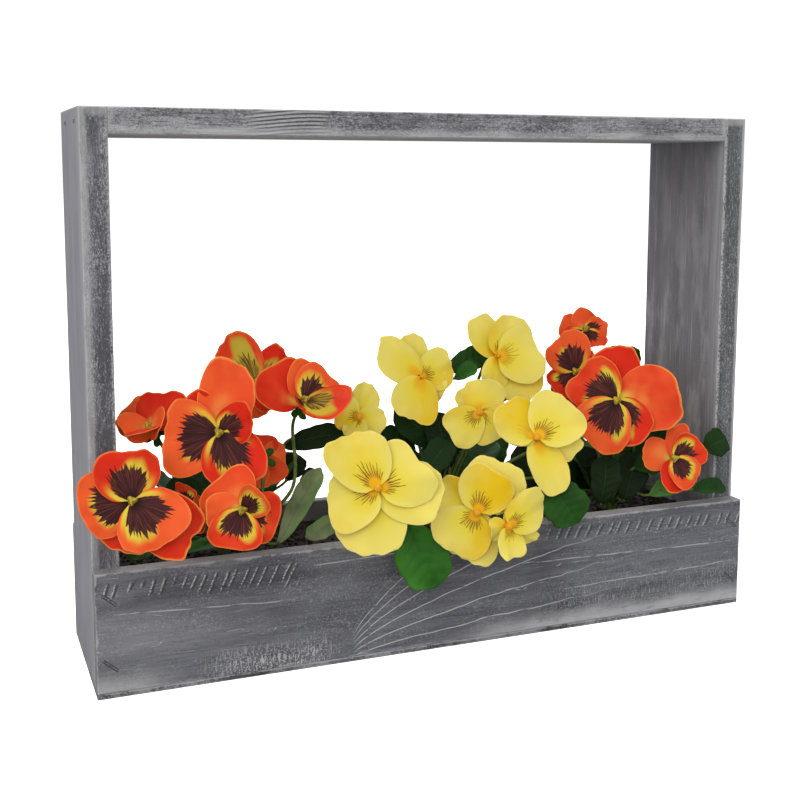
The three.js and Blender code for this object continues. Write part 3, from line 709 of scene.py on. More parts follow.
def front_marks(axes, facing, low, high):
    """Light marks on the front board: arched grain lines, saw ticks, scratches and wear, with a
    painted shadow beside each tick.
    """
    x, _, z = axes
    wobble = noise(axes, (0.03, 0.03, 0.05), 2.0) - 0.5
    broken = noise(axes, (0.09, 0.1, 0.5), 5.0, 4.0)
    specks = noise(axes, (0.8, 0, 1.2), 15.0)
    combed = greatest(noise(axes, (1.2, 0, 0.16), 13.0), specks)
    # Arched lines fan out from one spot at the bottom, to the right
    run = greatest(x + 66 + wobble * 9, 0.5)
    spread = run ** 0.6
    fan = greatest(z - 1, 0.0) / spread
    arch = line_at(fan * 1.15 + wobble * 0.6, 0.55 / spread)
    arch = arch * ramp(run, 3.0, 10.0) * ramp(run, 200.0, 90.0, 0.08)
    arch = arch * ramp(fan, 6.3, 5.6) * ramp(z, 58.0, 53.0)
    # Long lines lie along the board
    level = line_at(z * 0.07 + wobble * 1.9, 0.02)
    level = level * ramp(broken, 0.52, 0.62) * ramp(abs(x + 30), 40.0, 80.0)
    scratched = greatest(*(scratch(x, z + wobble * 3, *row) for row in SCRATCHES))
    level = greatest(level, scratched * ramp(broken, 0.4, 0.52))
    # Short slanted saw ticks stand in a row below the top edge, each with a painted shadow beside
    # it
    slant = (x - z * 0.42 + wobble * 6) / ramp(x, -30.0, 30.0, 5.7, 7.3) + 0.5
    number = slant.calc("FLOOR")
    near = fraction(slant) - 0.5 - (chance(number, 3.0) - 0.5) * 0.4
    tick = ramp(abs(near), 0.12, 0.05) * ramp(specks, 0.45, 0.52)
    # Painted shadow: a dark line beside each tick, as if its edge cast shade
    shade = ramp(abs(near - 0.22), 0.17, 0.08) * ramp(specks, 0.68, 0.54)
    start = ramp(x, -190.0, -120.0, 53.0, 47.0) + chance(number, 5.0) * 6
    left = ramp(x, -90.0, -97.0) * ramp(z, start, start + 3) * ramp(z, 63.5, 61.0)
    drop = z + (x - 60) * 0.025
    right = ramp(x, 58.0, 70.0) * ramp(drop, 56.5, 58.5) * ramp(drop, 65.5, 63.5)
    row = greatest(left, right * 0.8)
    # Worn places: a combed patch left of the arches, specks and a pale smear at the right
    patch = ramp(x, -158.0, -120.0) * ramp(x, -60.0, -90.0) * ramp(z + wobble * 16, 26.0, 8.0)
    dotted = ramp(x, 20.0, 110.0) * ramp(z + wobble * 20, 46.0, 12.0)
    smear = ramp(x, -10.0, 60.0) * ramp(z + wobble * 14, 15.0, 5.0) * ramp(broken, 0.25, 0.5, 0.4)
    rubbed = ramp(x, -150.0, -195.0) * ramp(z + wobble * 20, 20.0, 4.0)
    middle = ramp(x, -80.0, -180.0) * ramp(abs(z - 34 + wobble * 20), 20.0, 2.0)
    light = greatest(
        arch * ramp(broken, 0.32, 0.46) * 0.95,
        level * 0.65,
        tick * row * 0.85,
        patch * ramp(combed, 0.53, 0.6) * 0.9,
        dotted * ramp(combed, 0.55, 0.64) * 0.45,
        smear * 0.75,
        rubbed * 0.6,
        middle * 0.2)
    # The second mask is the painted shadow of the ticks
    return light * facing, shade * row * facing


# The order of the grain, across and through axes for boards that stand or lie
GRAIN_UP = (2, 0, 1)
GRAIN_LEVEL = (0, 2, 1)

# Boards: grain, seed, the look of the front and of the other sides, and the marks on them.
# A look is the wash, its shade, and how strong the streaks and the scuffs are
BOARDS = {
    "post_left": (GRAIN_UP, 1.3, ("#929298", "#525258", 1.1, 1.15),
                  ("#99989f", "#84848c", 0.3, 0.1), post_marks),
    "post_right": (GRAIN_UP, 5.1, ("#747579", "#48484c", 0.9, 0.9),
                   ("#7d7c80", "#68686c", 0.4, 0.3), post_marks),
    "top_rail": (GRAIN_LEVEL, 9.7, ("#9c9ca0", "#4c4c52", 0.9, 1.2),
                 ("#8a8a8e", "#6a6a70", 0.6, 0.8), rail_marks),
    "front_board": (GRAIN_LEVEL, 3.3, ("#707177", "#48484e", 0.75, 0.55),
                    ("#9c9a96", "#6c6c70", 0.6, 1.0), front_marks),
    "back_board": (GRAIN_LEVEL, 12.9, ("#7a7a7e", "#58585c", 0.6, 0.6),
                   ("#7f7f84", "#5c5c62", 0.6, 0.8), None),
    "base_board": (GRAIN_LEVEL, 7.7, ("#6a6a6e", "#38383b", 0.8, 1.3),
                   ("#6a6a6e", "#38383b", 0.8, 1.3), None),
}


def wood_material(board):
    """The finish of one board, with its own marks laid over the wash and the worn edges."""
    grain, seed, front_look, side_look, marks = BOARDS[board]
    settings = bpy.context.scene.window_box_wood
    made, tree = new_material(f"wood_{board}")
    low, high = (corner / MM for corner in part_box(board))
    point = object_point(tree)
    axes = split(point)
    facing = ramp(axes[1], low.y + 0.7, low.y + 0.3)
    wash, shade, streaks, scuffs = (
        blend(facing, rgb(side), rgb(front)) if isinstance(side, str)
        else facing * (front - side) + side
        for front, side in zip(front_look, side_look))
    pale = [*settings.pale, 1]
    along, across, through = (axes[axis] for axis in grain)
    color, rough, height = place_group(
        tree, wood_wash, along=along, across=across, through=through, seed=seed,
        streaks=streaks, scuffs=scuffs * settings.scuffs, wash=wash, shade=shade, pale=pale)
    (wear,) = place_group(
        tree, edge_wear, point=point, centre=(low + high) / 2, half=(high - low) / 2,
        reach=settings.edge_reach, seed=seed)
    color = blend(wear * 0.7, color, pale)
    if marks:
        # The pale mask holds pale marks and the rail underside's painted light; the dark mask holds
        # dark lines, chips and the saw ticks' painted shadow
        pale_marks_and_light, dark_marks_and_shade = marks(axes, facing, low, high)
        color = coats(color, (dark_marks_and_shade * 0.8, rgb("#3a3a3e")), (pale_marks_and_light, rgb("#c2c2c4")))
        height = height + pale_marks_and_light * 0.6 - dark_marks_and_shade * 0.6
    return finish(made, color, rough, height, depth=0.0004, strength=0.7)


def cloth_material(name, labels, rim=0.955):
    """A new material of pressed cloth, what the cloth gives it, and its points' numbers."""
    made, tree = new_material(name)
    numbers = {label: attribute(tree, label) for label in labels.split()}
    given = place_group(tree, cloth, point=object_point(tree), along=numbers["along"],
                        seed=numbers["tone"] * 20, rim=rim)
    return made, given, numbers.values()


def orange_material(name, under):
    """Orange petals: on the face a dark feathered blotch in a yellow halo; plain behind."""
    settings = bpy.context.scene.window_box_petals
    made, (mottle, rim, height), (across, along, plain, tone, thin) = cloth_material(
        name, "across along plain tone thin")
    # A higher tone gives a deeper red; set high on q's back petals, it is painted shade
    deep = ramp(tone + mottle * 0.3, 0.1, 1.15)
    band = blend(deep, rgb("#ea5f2a"), [*settings.orange, 1])
    pale = blend(mottle, rgb("#e88a40"), rgb("#e2662c"))
    back_color = blend(ramp(along + mottle * 0.2 + tone * 0.3, 0.35, 0.85), pale, band)
    if under:
        color = coats(back_color, (ramp(along, 0.45, 0.15), rgb("#c8a648")),
                      (rim * 0.6, rgb("#e8923c")))
        return finish(made, color, 0.7, height, gloss=CLOTH_GLOSS)
    # Tapered strokes fan out from the middle in two layers and end at random lengths
    theta = abs(across)
    swirl = noise((across, along, tone), (2.2, 3.0, 40), detail=2.0) - 0.5
    bend = across + swirl * 0.08
    fall = ramp(theta, 1.0, 0.52)
    body = fall * (0.58 - theta * 0.12) - thin * 0.1
    reach = body
    for count, shift, short, spare in ((7.0, 13, 0.03, 0.2), (17.0, 37, 0.02, 0.17)):
        ray = bend * count + tone * shift
        peak = 1 - abs(fraction(ray) * 2 - 1)
        long = chance(ray.calc("FLOOR"), tone * (shift + 50))
        reach = greatest(reach, body + fall * (short + long * spare) * peak ** 1.1)
    blotch = ramp(reach - along, -0.014, 0.016)
    # Strokes inside the blotch are brown on near black
    streak = noise((bend, along, tone), (26, 1.2, 30), rough=0.6)
    dark = coats(
        [*settings.blotch, 1],
        (ramp(streak, 0.5, 0.64) * ramp(along, 0.08, 0.3), rgb("#643026")),
        (ramp(streak, 0.46, 0.36) * 0.7, rgb("#1d0b0d")),
        (ramp(along, 0.26, 0.1) * 0.6, rgb("#200c0d")),
        (thin * 0.6, rgb("#6a4a18")))
    gap = ramp(streak, 0.42 + thin * 0.14, 0.34 + thin * 0.1)
    gap = gap * ramp(along - body + thin * 0.3, -0.2, 0.02)
    # Yellow shows past the blotch, more on one side, and in both base corners
    drift = noise((across, tone, 0.0), (1.1, 60, 0), 7.0, 1.0)
    glow = ramp(drift, 0.42, 0.62) * 0.34 - 0.1 + thin * 0.18
    halo = ramp(along - body - swirl * 0.16, glow + 0.12, glow - 0.08)
    corner = ramp(theta + swirl * 0.25, 0.46, 0.82) * ramp(along, 0.9, 0.55)
    # Thin petals, those of the back flowers, get a duller olive gold: painted shade
    gold = coats(rgb("#dccb40"), (mottle, rgb("#d2ac30")), (thin * 0.6, rgb("#a8922c")))
    face = coats(band, (greatest(halo, corner), gold), (rim * 0.6, rgb("#ea8c44")),
                 (blotch * (1 - gap * 0.8), dark))
    behind = coats(back_color, (ramp(along, 0.34, 0.14), rgb("#d6b23c")),
                   (rim * 0.7, rgb("#eea048")))
    return finish(made, blend(plain, face, behind), 0.65, height, gloss=CLOTH_GLOSS)


def yellow_material(name, under):
    """Yellow petals: lemon paling to a cream rim, with a fan of hair-thin dark veins."""
    settings = bpy.context.scene.window_box_petals
    made, (mottle, rim, height), (across, along, plain, tone) = cloth_material(
        name, "across along plain tone")
    slant = sine(across * 1.9 + tone * 25) * 0.5 + 0.5
    gold = ramp(slant * 0.6 + tone * 0.5 + (mottle - 0.5) * 0.2, 0.5, 1.05)
    color = coats(
        [*settings.yellow, 1],
        (ramp(along, 0.3, 0.9), rgb("#e6d566")),
        (gold, rgb("#e0b90e")),
        (ramp(along, 0.4, 0.14), rgb("#e6ac18")),
        (rim * 0.35, rgb("#e8d890")))
    if under:
        color = blend(mottle * 0.5, color, rgb("#cdbf58"))
        return finish(made, color, 0.7, height, gloss=CLOTH_GLOSS)
    # Two fans of veins, coarse and fine, each vein with its own length
    swirl = noise((across, along, tone), (3.0, 4.0, 40), detail=2.0) - 0.5
    fans = []
    for count, thick, least, spare in ((8.0, 0.06, 0.4, 0.16), (15.0, 0.055, 0.26, 0.24)):
        ray = across * count + swirl * 0.9 + tone * count * 3 + 0.5
        number = ray.calc("FLOOR")
        twig = chance(number, tone * 70) - 0.5
        long = chance(number, tone * 90)
        width = thick / greatest(along, 0.24)
        offset = fraction(ray) - 0.5 - twig * ramp(along, 0.14, 0.5) * 0.8
        reach = least + long * spare - abs(across) * 0.1
        fans.append(ramp(abs(offset), width, width * 0.4) * ramp(along, reach, reach - 0.06))
    veins = greatest(*fans) * ramp(along, 0.14, 0.24) * ramp(abs(across), 0.8, 0.66)
    color = blend(veins * (1 - plain) * 0.9, color, rgb("#4c2a1c"))
    return finish(made, color, 0.65, height, gloss=CLOTH_GLOSS)


def leaf_material(name, under):
    """Leaves: dark green with a paler midrib above, grey-green below, and painted light on the
    right half of lit leaves.
    """
    settings = bpy.context.scene.window_box_leaves
    made, (mottle, _, height), (across, along, tone) = cloth_material(
        name, "across along tone", 0.97)
    rib = ramp(abs(across), 0.05, 0.015) * ramp(along, 1.0, 0.6)
    side = line_at(along * 6.5 - abs(across) * 1.2, 0.05) * ramp(abs(across), 0.9, 0.5)
    color = coats(
        [*settings.dark, 1],
        # A leaf's tone paints its light: dark green for leaves in shade, bright for lit ones
        (ramp(tone, 0.1, 0.65), [*settings.bright, 1]),
        (ramp(tone, 0.66, 0.8), rgb("#84946a")),
        (mottle * 0.5, rgb("#12240b")),
        # Painted light: the right half of a lit leaf is brighter, as if lit across its fold
        (ramp(across, 0.1, 0.9) * ramp(tone, 0.2, 0.6) * 0.35, rgb("#4c8a2c")),
        (rib * 0.3 + side * 0.12, rgb("#3a6428")))
    if under:
        color = blend(ramp(tone, -0.6, 0.9), color, rgb("#66805c"))
    return finish(made, color, 0.6, height - rib * 0.6 - side * 0.5, depth=0.0005,
                  gloss=CLOTH_GLOSS)


# Meshes

def grid_faces(columns, rows):
    """The faces of a grid of points, row by row, and the points round its rim in order."""
    across = columns + 1
    last = across * (rows + 1) - 1
    corner = (np.arange(rows)[:, None] * across + np.arange(columns)).ravel()
    faces = np.stack([corner, corner + 1, corner + across + 1, corner + across], 1)
    rim = [*range(columns), *range(columns, last, across), *range(last, last - columns, -1),
           *range(last - columns, 0, -across)]
    return faces, rim


def blade_grid(columns, rows, count):
    """Count closed blades, each of a front and a back sheet, as points, faces and numbers."""
    step = (columns + 1) * (rows + 1)
    u, v = np.meshgrid(np.linspace(-1, 1, columns + 1), np.linspace(0, 1, rows + 1))
    top, rim = grid_faces(columns, rows)
    here, there = np.array(rim), np.roll(rim, -1)
    edge = np.stack([there, here, here + step, there + step], 1)
    one = np.concatenate([top, top[:, ::-1] + step, edge])
    return {
        "across": np.tile(u.ravel(), 2 * count),
        "along": np.tile(v.ravel(), 2 * count),
        "which": np.repeat(np.arange(count), 2 * step),
        "faces": np.concatenate([one + 2 * step * k for k in range(count)]),
        "under": np.tile(np.repeat([0, 1, 0], [len(top), len(top), len(edge)]), count),
    }


def store(mesh, label, values, domain="POINT"):
    """Keeps a number for each point or face of a mesh."""
    made = mesh.attributes.new(label, "FLOAT", domain)
    made.data.foreach_set("value", np.asarray(values, np.float32))


def mesh_from(name, points, faces, numbers=None, materials=(), slots=None):
    """A smooth mesh with numbers on its points and, if given, a material slot per face."""
    mesh = bpy.data.meshes.new(name)
    mesh.from_pydata([tuple(p) for p in points], [], [tuple(int(k) for k in f) for f in faces])
    for label, values in (numbers or {}).items():
        store(mesh, label, values)
    for one in materials:
        mesh.materials.append(one)
    if slots is not None:
        mesh.polygons.foreach_set("material_index", np.asarray(slots, np.int32))
    mesh.polygons.foreach_set("use_smooth", [True] * len(mesh.polygons))
    return mesh


def link(name, data):
    """A new object in the scene."""
    made = bpy.data.objects.new(name, data)
    bpy.context.scene.collection.objects.link(made)
    return made


def cover(node, material):
    """Gives a CAD node one material."""
    node.data.materials.clear()
    node.data.materials.append(material)


def grow(mesh, tree, **values):
    """Runs a geometry node tree on a mesh and returns the plain mesh that comes out."""
    holder = link("holder", mesh)
    modifier = holder.modifiers.new("Form", "NODES")
    modifier.node_group = tree
    for item in tree.interface.items_tree:
        if item.in_out == "INPUT" and item.name.lower() in values:
            modifier[item.identifier] = values[item.name.lower()]
    graph = bpy.context.evaluated_depsgraph_get()
    made = bpy.data.meshes.new_from_object(holder.evaluated_get(graph))
    bpy.data.objects.remove(holder)
    if made.materials[0] is None:
        made.materials.pop(index=0)
    return made


def joined(name, meshes):
    """One piece from several meshes, which keeps their attributes and materials."""
    parts = [link(f"{name}_{k}", mesh) for k, mesh in enumerate(meshes)]
    with bpy.context.temp_override(active_object=parts[0], selected_editable_objects=parts):
        bpy.ops.object.join()
    parts[0].name = name
    return parts[0]


def settle(piece, slot, *nodes):
    """Ties a finished piece to the part: it rides on it and stands for CAD nodes."""
    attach(piece, "root")
    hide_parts(*nodes)


def flower_place(at, turn, tip):
    """The matrix that takes a flower's own x right, y up, z out to its place, in metres."""
    turn, tip = math.radians(turn), math.radians(tip)
    out = Vector((math.sin(turn) * math.cos(tip), -math.cos(turn) * math.cos(tip),
                  math.sin(tip)))
    right = Vector((math.cos(turn), math.sin(turn), 0))
    place = Matrix((right, out.cross(right), out)).transposed().to_4x4()
    place.translation = Vector(at) * MM
    return place, out


def end_tree(form, sink, materials):
    """Realizes instances, keeps sharp corners, and sets the material, and that of under sides."""
    tree = form.tree
    form = add(tree, "GeometryNodeRealizeInstances", {"Geometry": form})
    corner = add(tree, "GeometryNodeInputMeshEdgeAngle").calc("GREATER_THAN", 1.0)
    form = add(tree, "GeometryNodeSetShadeSmooth",
               {"Geometry": form, "Selection": corner, "Shade Smooth": False}, domain="EDGE")
    form = add(tree, "GeometryNodeSetMaterial", {"Geometry": form, "Material": materials[0]})
    if len(materials) > 1:
        under = attribute(tree, "under").calc("GREATER_THAN", 0.5)
        form = add(tree, "GeometryNodeSetMaterial",
                   {"Geometry": form, "Selection": under, "Material": materials[1]})
    return give(tree, sink, geometry=form)


def petal_tree(materials):
    """Bends flat petal blades to their form by the numbers that each of their points holds."""
    inputs = {"Spread": PETAL_SPREAD, "Roundness": PETAL_ROUND, "Start": PETAL_START,
              "Ripples": RIPPLES, "Layer step": LAYER_STEP, "Thickness": 0.3, "Bulge": 1.5,
              "Frill": 1.1, "Scallop": 0.035, "Squareness": 0.07}
    tree, use, sink = new_group("Pansy petals", inputs, kind="GeometryNodeTree")
    get = {label: attribute(tree, label) for label in ("across", "along", "tone", *BENDS)}
    turn = get["across"] * use["Spread"]
    swing = get["tone"] * 30
    # How far the blade reaches each way, with its notch, scallops and corners
    reach = get["long"] * greatest(turn.calc("COSINE"), 0.02) ** use["Roundness"]
    centred = get["across"] / NOTCH_SPREAD
    dent = 1 - get["notch"] * (centred * centred * -1).calc("EXPONENT")
    share = use["Start"] + (1 - use["Start"]) * get["along"]
    waver = sine(turn * 2.6 + swing) * 0.8 + sine(turn * 4.3 + swing * 3)
    waver = waver + sine(turn * 9 + swing * 2) * 0.4
    waver = waver + sine(turn * 21 + swing) * (1 + sine(turn * 2.3 + swing * 2.1)) * 0.22
    corners = (turn * 5 + sine(swing * 1.3) * 0.7).calc("COSINE")
    scallop = 1 + share * (use["Scallop"] * waver - use["Squareness"] * corners)
    r = reach * share * dent * scallop
    x = get["wide"] / (PETAL_WIDTH * get["long"]) * r * sine(turn)
    y = r * turn.calc("COSINE")
    # How far it stands forward: its layer, tilt, cup, curl, arch, ripples and frill
    part = r / get["long"]
    square = part * part
    ripple = get["wave"] * part * part * sine(use["Ripples"] * turn + get["angle"] * 0.7)
    ripple = ripple + use["Bulge"] * part * part * part * sine(turn * 1.9 + swing * 1.7)
    frill = use["Frill"] * part ** 4 * (sine(turn * 6 + swing) + sine(turn * 13 + swing * 3) * 0.4)
    lift = (get["tilt"] + get["layer"] * LAYER_TILT).calc("RADIANS").calc("TANGENT")
    sides = sine(turn) * sine(turn)
    z = (get["layer"] * use["Layer step"] + lift * y + get["cup"] * square
         - get["curl"] * square * square - get["arch"] * sides * square + ripple + frill)
    way = get["angle"].calc("RADIANS")
    east, north = way.calc("COSINE"), way.calc("SINE")
    spot = scaled(combine(tree, east * y + north * x, north * y - east * x, z), MM)
    form = add(tree, "GeometryNodeSetPosition", {"Geometry": use["Geometry"], "Position": spot})
    push = scaled(add(tree, "GeometryNodeInputNormal"), use["Thickness"] * MM / 2)
    form = add(tree, "GeometryNodeSetPosition", {"Geometry": form, "Offset": push})
    form = add(tree, "GeometryNodeStoreNamedAttribute",
               {"Geometry": form, "Name": "along", "Value": share}, data_type="FLOAT")
    return end_tree(form, sink, materials)


def petals_mesh(tree, petals, draw, thickness):
    """The petals of one flower, in its own frame."""
    grid = blade_grid(*PETAL_GRID, len(petals))
    which = grid["which"]
    middle = (len(petals) - 1) / 2
    rows = []
    for k, petal in enumerate(petals):
        own = {"tone": draw.random(), "layer": k - middle, "curl": draw.uniform(-0.4, 1.4),
               "arch": draw.uniform(-0.5, 2.5)}
        rows.append({**USUAL_PETAL, **own, **petal})
    numbers = {label: np.array([row[label] for row in rows], float)[which] for label in rows[0]}
    numbers |= {label: grid[label] for label in ("across", "along")}
    points = np.stack([grid["across"], grid["along"], which * 1.0], 1)
    mesh = mesh_from("petals", points, grid["faces"], numbers)
    store(mesh, "under", grid["under"], "FACE")
    made = grow(mesh, tree, thickness=thickness)
    for label in (*BENDS, "under"):
        made.attributes.remove(made.attributes[label])
    return made


def turned(profile, sides):
    """Points and faces of a turned shape whose profile starts and ends on the axis."""
    angles = [2 * math.pi * k / sides for k in range(sides)]
    points = [(0, 0, profile[0][1])]
    for radius, z in profile[1:-1]:
        points += [(radius * math.cos(a), radius * math.sin(a), z) for a in angles]
    points.append((0, 0, profile[-1][1]))
    last = len(points) - 1
    pairs = [(k, (k + 1) % sides) for k in range(sides)]
    faces = [(0, 1 + n, 1 + k) for k, n in pairs]
    for start in range(1, last - sides, sides):
        faces += [(start + k, start + n, start + sides + n, start + sides + k) for k, n in pairs]
    start = last - sides
    faces += [(start + k, start + n, last) for k, n in pairs]
    return points, faces


def eye_mesh(colour, top, material, share):
    """The raised eye in the middle of a flower, on its core."""
    radius, high, knob = EYES[colour]
    profile = [(0, -CORE_BACK), (CORE_RADIUS * 0.8, -CORE_BACK),
               (CORE_RADIUS * 0.9 * share, top - 2)]
    for k in range(9):
        a = math.pi / 2 * (k / 8.5)
        profile.append((radius * share * math.cos(a), top - EYE_SINK + high * math.sin(a)))
    profile.append((0, top - EYE_SINK + high))
    points, faces = turned(profile, EYE_SIDES)
    shaped = []
    for x, y, z in points:
        a = math.atan2(y, x)
        swell = 1 + knob * math.sin(3 * a + 1) * (1 if z > top - 2 else 0)
        shaped.append(Vector((x * swell, y * swell, z + knob * math.sin(2 * a) * 0.6)) * MM)
    return mesh_from("eye", shaped, faces, materials=[material])


def catmull(points, count):
    """Points along a centripetal curve through the given ones."""
    points = [Vector(p) for p in points]
    ends = [points[0] * 2 - points[1], *points, points[-1] * 2 - points[-2]]
    spans = len(points) - 1
    made = []
    for step in range(count + 1):
        place = spans * step / count
        k = min(int(place), spans - 1)
        t = place - k
        p0, p1, p2, p3 = ends[k:k + 4]
        d0, d1, d2 = (max((b - a).length ** 0.5, 1e-4) for a, b in ((p0, p1), (p1, p2), (p2, p3)))
        m1 = ((p1 - p0) / d0 - (p2 - p0) / (d0 + d1) + (p2 - p1) / d1) * d1
        m2 = ((p2 - p1) / d1 - (p3 - p1) / (d1 + d2) + (p3 - p2) / d2) * d1
        made.append(p1 + m1 * t + (p2 * 3 - p1 * 3 - m1 * 2 - m2) * t ** 2
                    + (p1 * 2 - p2 * 2 + m1 + m2) * t ** 3)
    return made


def stem_tree(material):
    """Round stems along chains of edges, as thick as their points say."""
    inputs = {"Spacing": 0.0015, "Unevenness": 0.12}
    tree, use, sink = new_group("Stems", inputs, kind="GeometryNodeTree")
    curve = add(tree, "GeometryNodeMeshToCurve", {"Mesh": use["Geometry"]})
    curve = add(tree, "GeometryNodeResampleCurve", {"Curve": curve, "Length": use["Spacing"]},
                mode="LENGTH")
    spot = split(add(tree, "GeometryNodeInputPosition"))
    lumps = noise(spot, (400, 400, 160), 1.0, 2.0) - 0.5
    thick = attribute(tree, "thick") * (1 + lumps * use["Unevenness"] * 2)
    ring = add(tree, "GeometryNodeCurvePrimitiveCircle", {"Resolution": 10, "Radius": 1.0})
    inputs = {"Curve": curve, "Profile Curve": ring, "Scale": thick, "Fill Caps": True}
    form = add(tree, "GeometryNodeCurveToMesh", inputs)
    form = add(tree, "GeometryNodeSetShadeSmooth", {"Geometry": form})
    return end_tree(form, sink, [material])


def soil_tree(material):
    """Crumbs of many sizes on an uneven surface."""
    inputs = {"Crumb": 0.0013, "Density": 70000.0}
    tree, use, sink = new_group("Soil crumbs", inputs, kind="GeometryNodeTree")
    top = attribute(tree, "top").calc("GREATER_THAN", 0.5)
    spots = add(tree, "GeometryNodeDistributePointsOnFaces",
                {"Mesh": use["Geometry"], "Selection": top, "Density": use["Density"], "Seed": 5})
    ball = add(tree, "GeometryNodeMeshIcoSphere", {"Radius": 1.0, "Subdivisions": 1})
    size = add(tree, "FunctionNodeRandomValue", {2: 0.45, 3: 1.5, "Seed": 11}, output=1)
    scale = combine(tree, size * use["Crumb"], size * use["Crumb"], size * use["Crumb"] * 0.7)
    turn = add(tree, "FunctionNodeRandomValue",
               {0: (0, 0, 0), 1: (TURN, TURN, TURN), "Seed": 12}, data_type="FLOAT_VECTOR")
    crumbs = add(tree, "GeometryNodeInstanceOnPoints",
                 {"Points": spots, "Instance": ball, "Rotation": turn, "Scale": scale})
    both = tree.nodes.new("GeometryNodeJoinGeometry")
    for part in (crumbs, use["Geometry"]):
        put(part, both.inputs[0])
    return end_tree(Field(tree, both.outputs[0]), sink, [material])


def soil_mesh(low, high):
    """The soil's plain block with an uneven top, whose faces are marked."""
    columns, rows = SOIL_GRID
    draw = random.Random(SOIL_SEED)
    phases = [draw.uniform(0, TURN) for _ in range(6)]
    points = []
    for j in range(rows + 1):
        for i in range(columns + 1):
            x = low.x + (high.x - low.x) * i / columns
            y = low.y + (high.y - low.y) * j / rows
            waves = sum(math.sin(x * 90 * (k + 1) + phases[k])
                        * math.cos(y * 70 * (k + 1) + phases[k + 3]) / (k + 1)
                        for k in range(3))
            points.append((x, y, high.z - SOIL_DIP + SOIL_WAVES * waves))
    surface, rim = grid_faces(columns, rows)
    top = len(points)
    points += [(points[k][0], points[k][1], low.z) for k in rim]
    foot = list(range(top, len(points)))
    walls = zip(rim[1:] + rim[:1], rim, foot, foot[1:] + foot[:1])
    faces = [*surface, *walls, foot[::-1]]
    mesh = mesh_from("soil", points, faces)
    store(mesh, "top", [k < len(surface) for k in range(len(faces))], "FACE")
    return mesh


def trunk_spot(trunk, towards, z):
    """A spot inside the trunk, on the side that the branch or stalk leaves by."""
    way = Vector((towards[0] - trunk[0], towards[1] - trunk[1])).normalized()
    inset = TRUNK_RADIUS * 0.55
    return Vector((trunk[0] + way.x * inset, trunk[1] + way.y * inset, z))


def branch_path(trunk, at, out, passing):
    """From the trunk's head up to just behind the flower, along the way that it faces."""
    start = trunk_spot(trunk, at, SOIL_TOP + BRANCH_START)
    end = Vector(at) - out * (CORE_BACK + GAP + 1)
    sag = Vector((0, 0, BRANCH_SAG))
    behind = end - out * NECK - sag
    middle = Vector(passing) if passing else start.lerp(behind, 0.5) + sag
    return catmull([start, middle, behind, end], BRANCH_STEPS)


def ring_leaves(trunk):
    """The seeded low leaves behind a trunk: where each blade starts, its tip and its width."""
    state = RING["seed"] + round(trunk[0] + 500)
    limit = max(corner.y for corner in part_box("soil")) / MM + GAP - 6

    def draw():
        nonlocal state
        state = state * RANDOM_STEP % RANDOM_SIZE
        return state / RANDOM_SIZE

    rows = []
    for angle in RING["angles"]:
        turn = math.radians(angle + 12 * (draw() - 0.5))
        reach = RING["reach"] * (0.85 + 0.3 * draw())
        high = RING["high"] * (0.8 + 0.5 * draw())
        spots = []
        for far, z in ((RING["start"], RING["low"]), (reach, high)):
            y = min(trunk[1] + far * math.sin(turn), limit)
            spots.append(Vector((trunk[0] + far * math.cos(turn), y, SOIL_TOP + z)))
        rows.append((*spots, RING["wide"] * (0.85 + 0.3 * draw())))
    return rows


def leaf_blade(start, base, tip, wide, upward, tone):
    """One leaf's stalk path, and its blade's points, faces, numbers and material slots."""
    run = tip - base
    face = Vector((-0.35, -0.9, 0.2)).lerp(Vector((0, 0, 1)), upward)
    side = run.cross(face).normalized()
    rise = side.cross(run).normalized()
    middle = base.lerp(tip, 0.5) + rise * run.length * 0.1
    bend = start.lerp(base, 0.5) + Vector((0, 0, (start - base).length * 0.12))
    path = catmull([start, bend, base, middle, tip], LEAF_STEPS * 2)
    spine = path[LEAF_STEPS:]
    grid = blade_grid(*LEAF_GRID, 1)
    points = []
    for u, v in zip(grid["across"], grid["along"]):
        part = min(max(v - 0.09 * v ** 3 * u * u, 0.0), 1.0)
        # Half the blade's width here, which swells to the widest spot and then closes
        if part < WIDEST:
            belly = math.sin(math.pi / 2 * part / WIDEST) ** 0.85
        else:
            belly = math.sqrt(max(1 - ((part - WIDEST) / 0.43) ** 2, 0.04))
        waver = 0.025 * math.cos(part * 31 + tone * 20) + 0.05 * math.sin(part * 13 + u * 2)
        half = max(wide / 2 * belly * (1 + waver), 0.9)
        # The spot on the midrib
        step = int(part * LEAF_STEPS)
        after = spine[min(step + 1, LEAF_STEPS)]
        place = spine[min(step, LEAF_STEPS)].lerp(after, part * LEAF_STEPS - step)
        # How far the blade stands up: its fold, midrib and quilting
        ruffle = 0.8 * math.sin(part * 12 + u * 2) + 0.05 * half * math.sin(part * 19 - u * 3)
        fold = part * (abs(u) * half * 0.3 + u * u * ruffle)
        rib = -0.45 * math.exp(-((u * half / 0.8) ** 2)) * (1 - part)
        quilt = math.sin(math.pi * (part * 6.5 - abs(u) * 1.2)) ** 2
        puff = 0.75 * quilt * (1 - u * u) * 4 * part * (1 - part)
        points.append(place + side * (u * half) + rise * (fold + rib + puff))
    points = np.array([tuple(p) for p in points])
    sheet = len(points) // 2
    points[:sheet] += np.array(rise) * LEAF_HALF
    points[sheet:] -= np.array(rise) * LEAF_HALF
    numbers = {"across": grid["across"], "along": grid["along"],
               "tone": np.full(len(points), tone)}
    return path[:LEAF_STEPS + 4], points, grid["faces"], numbers, grid["under"]


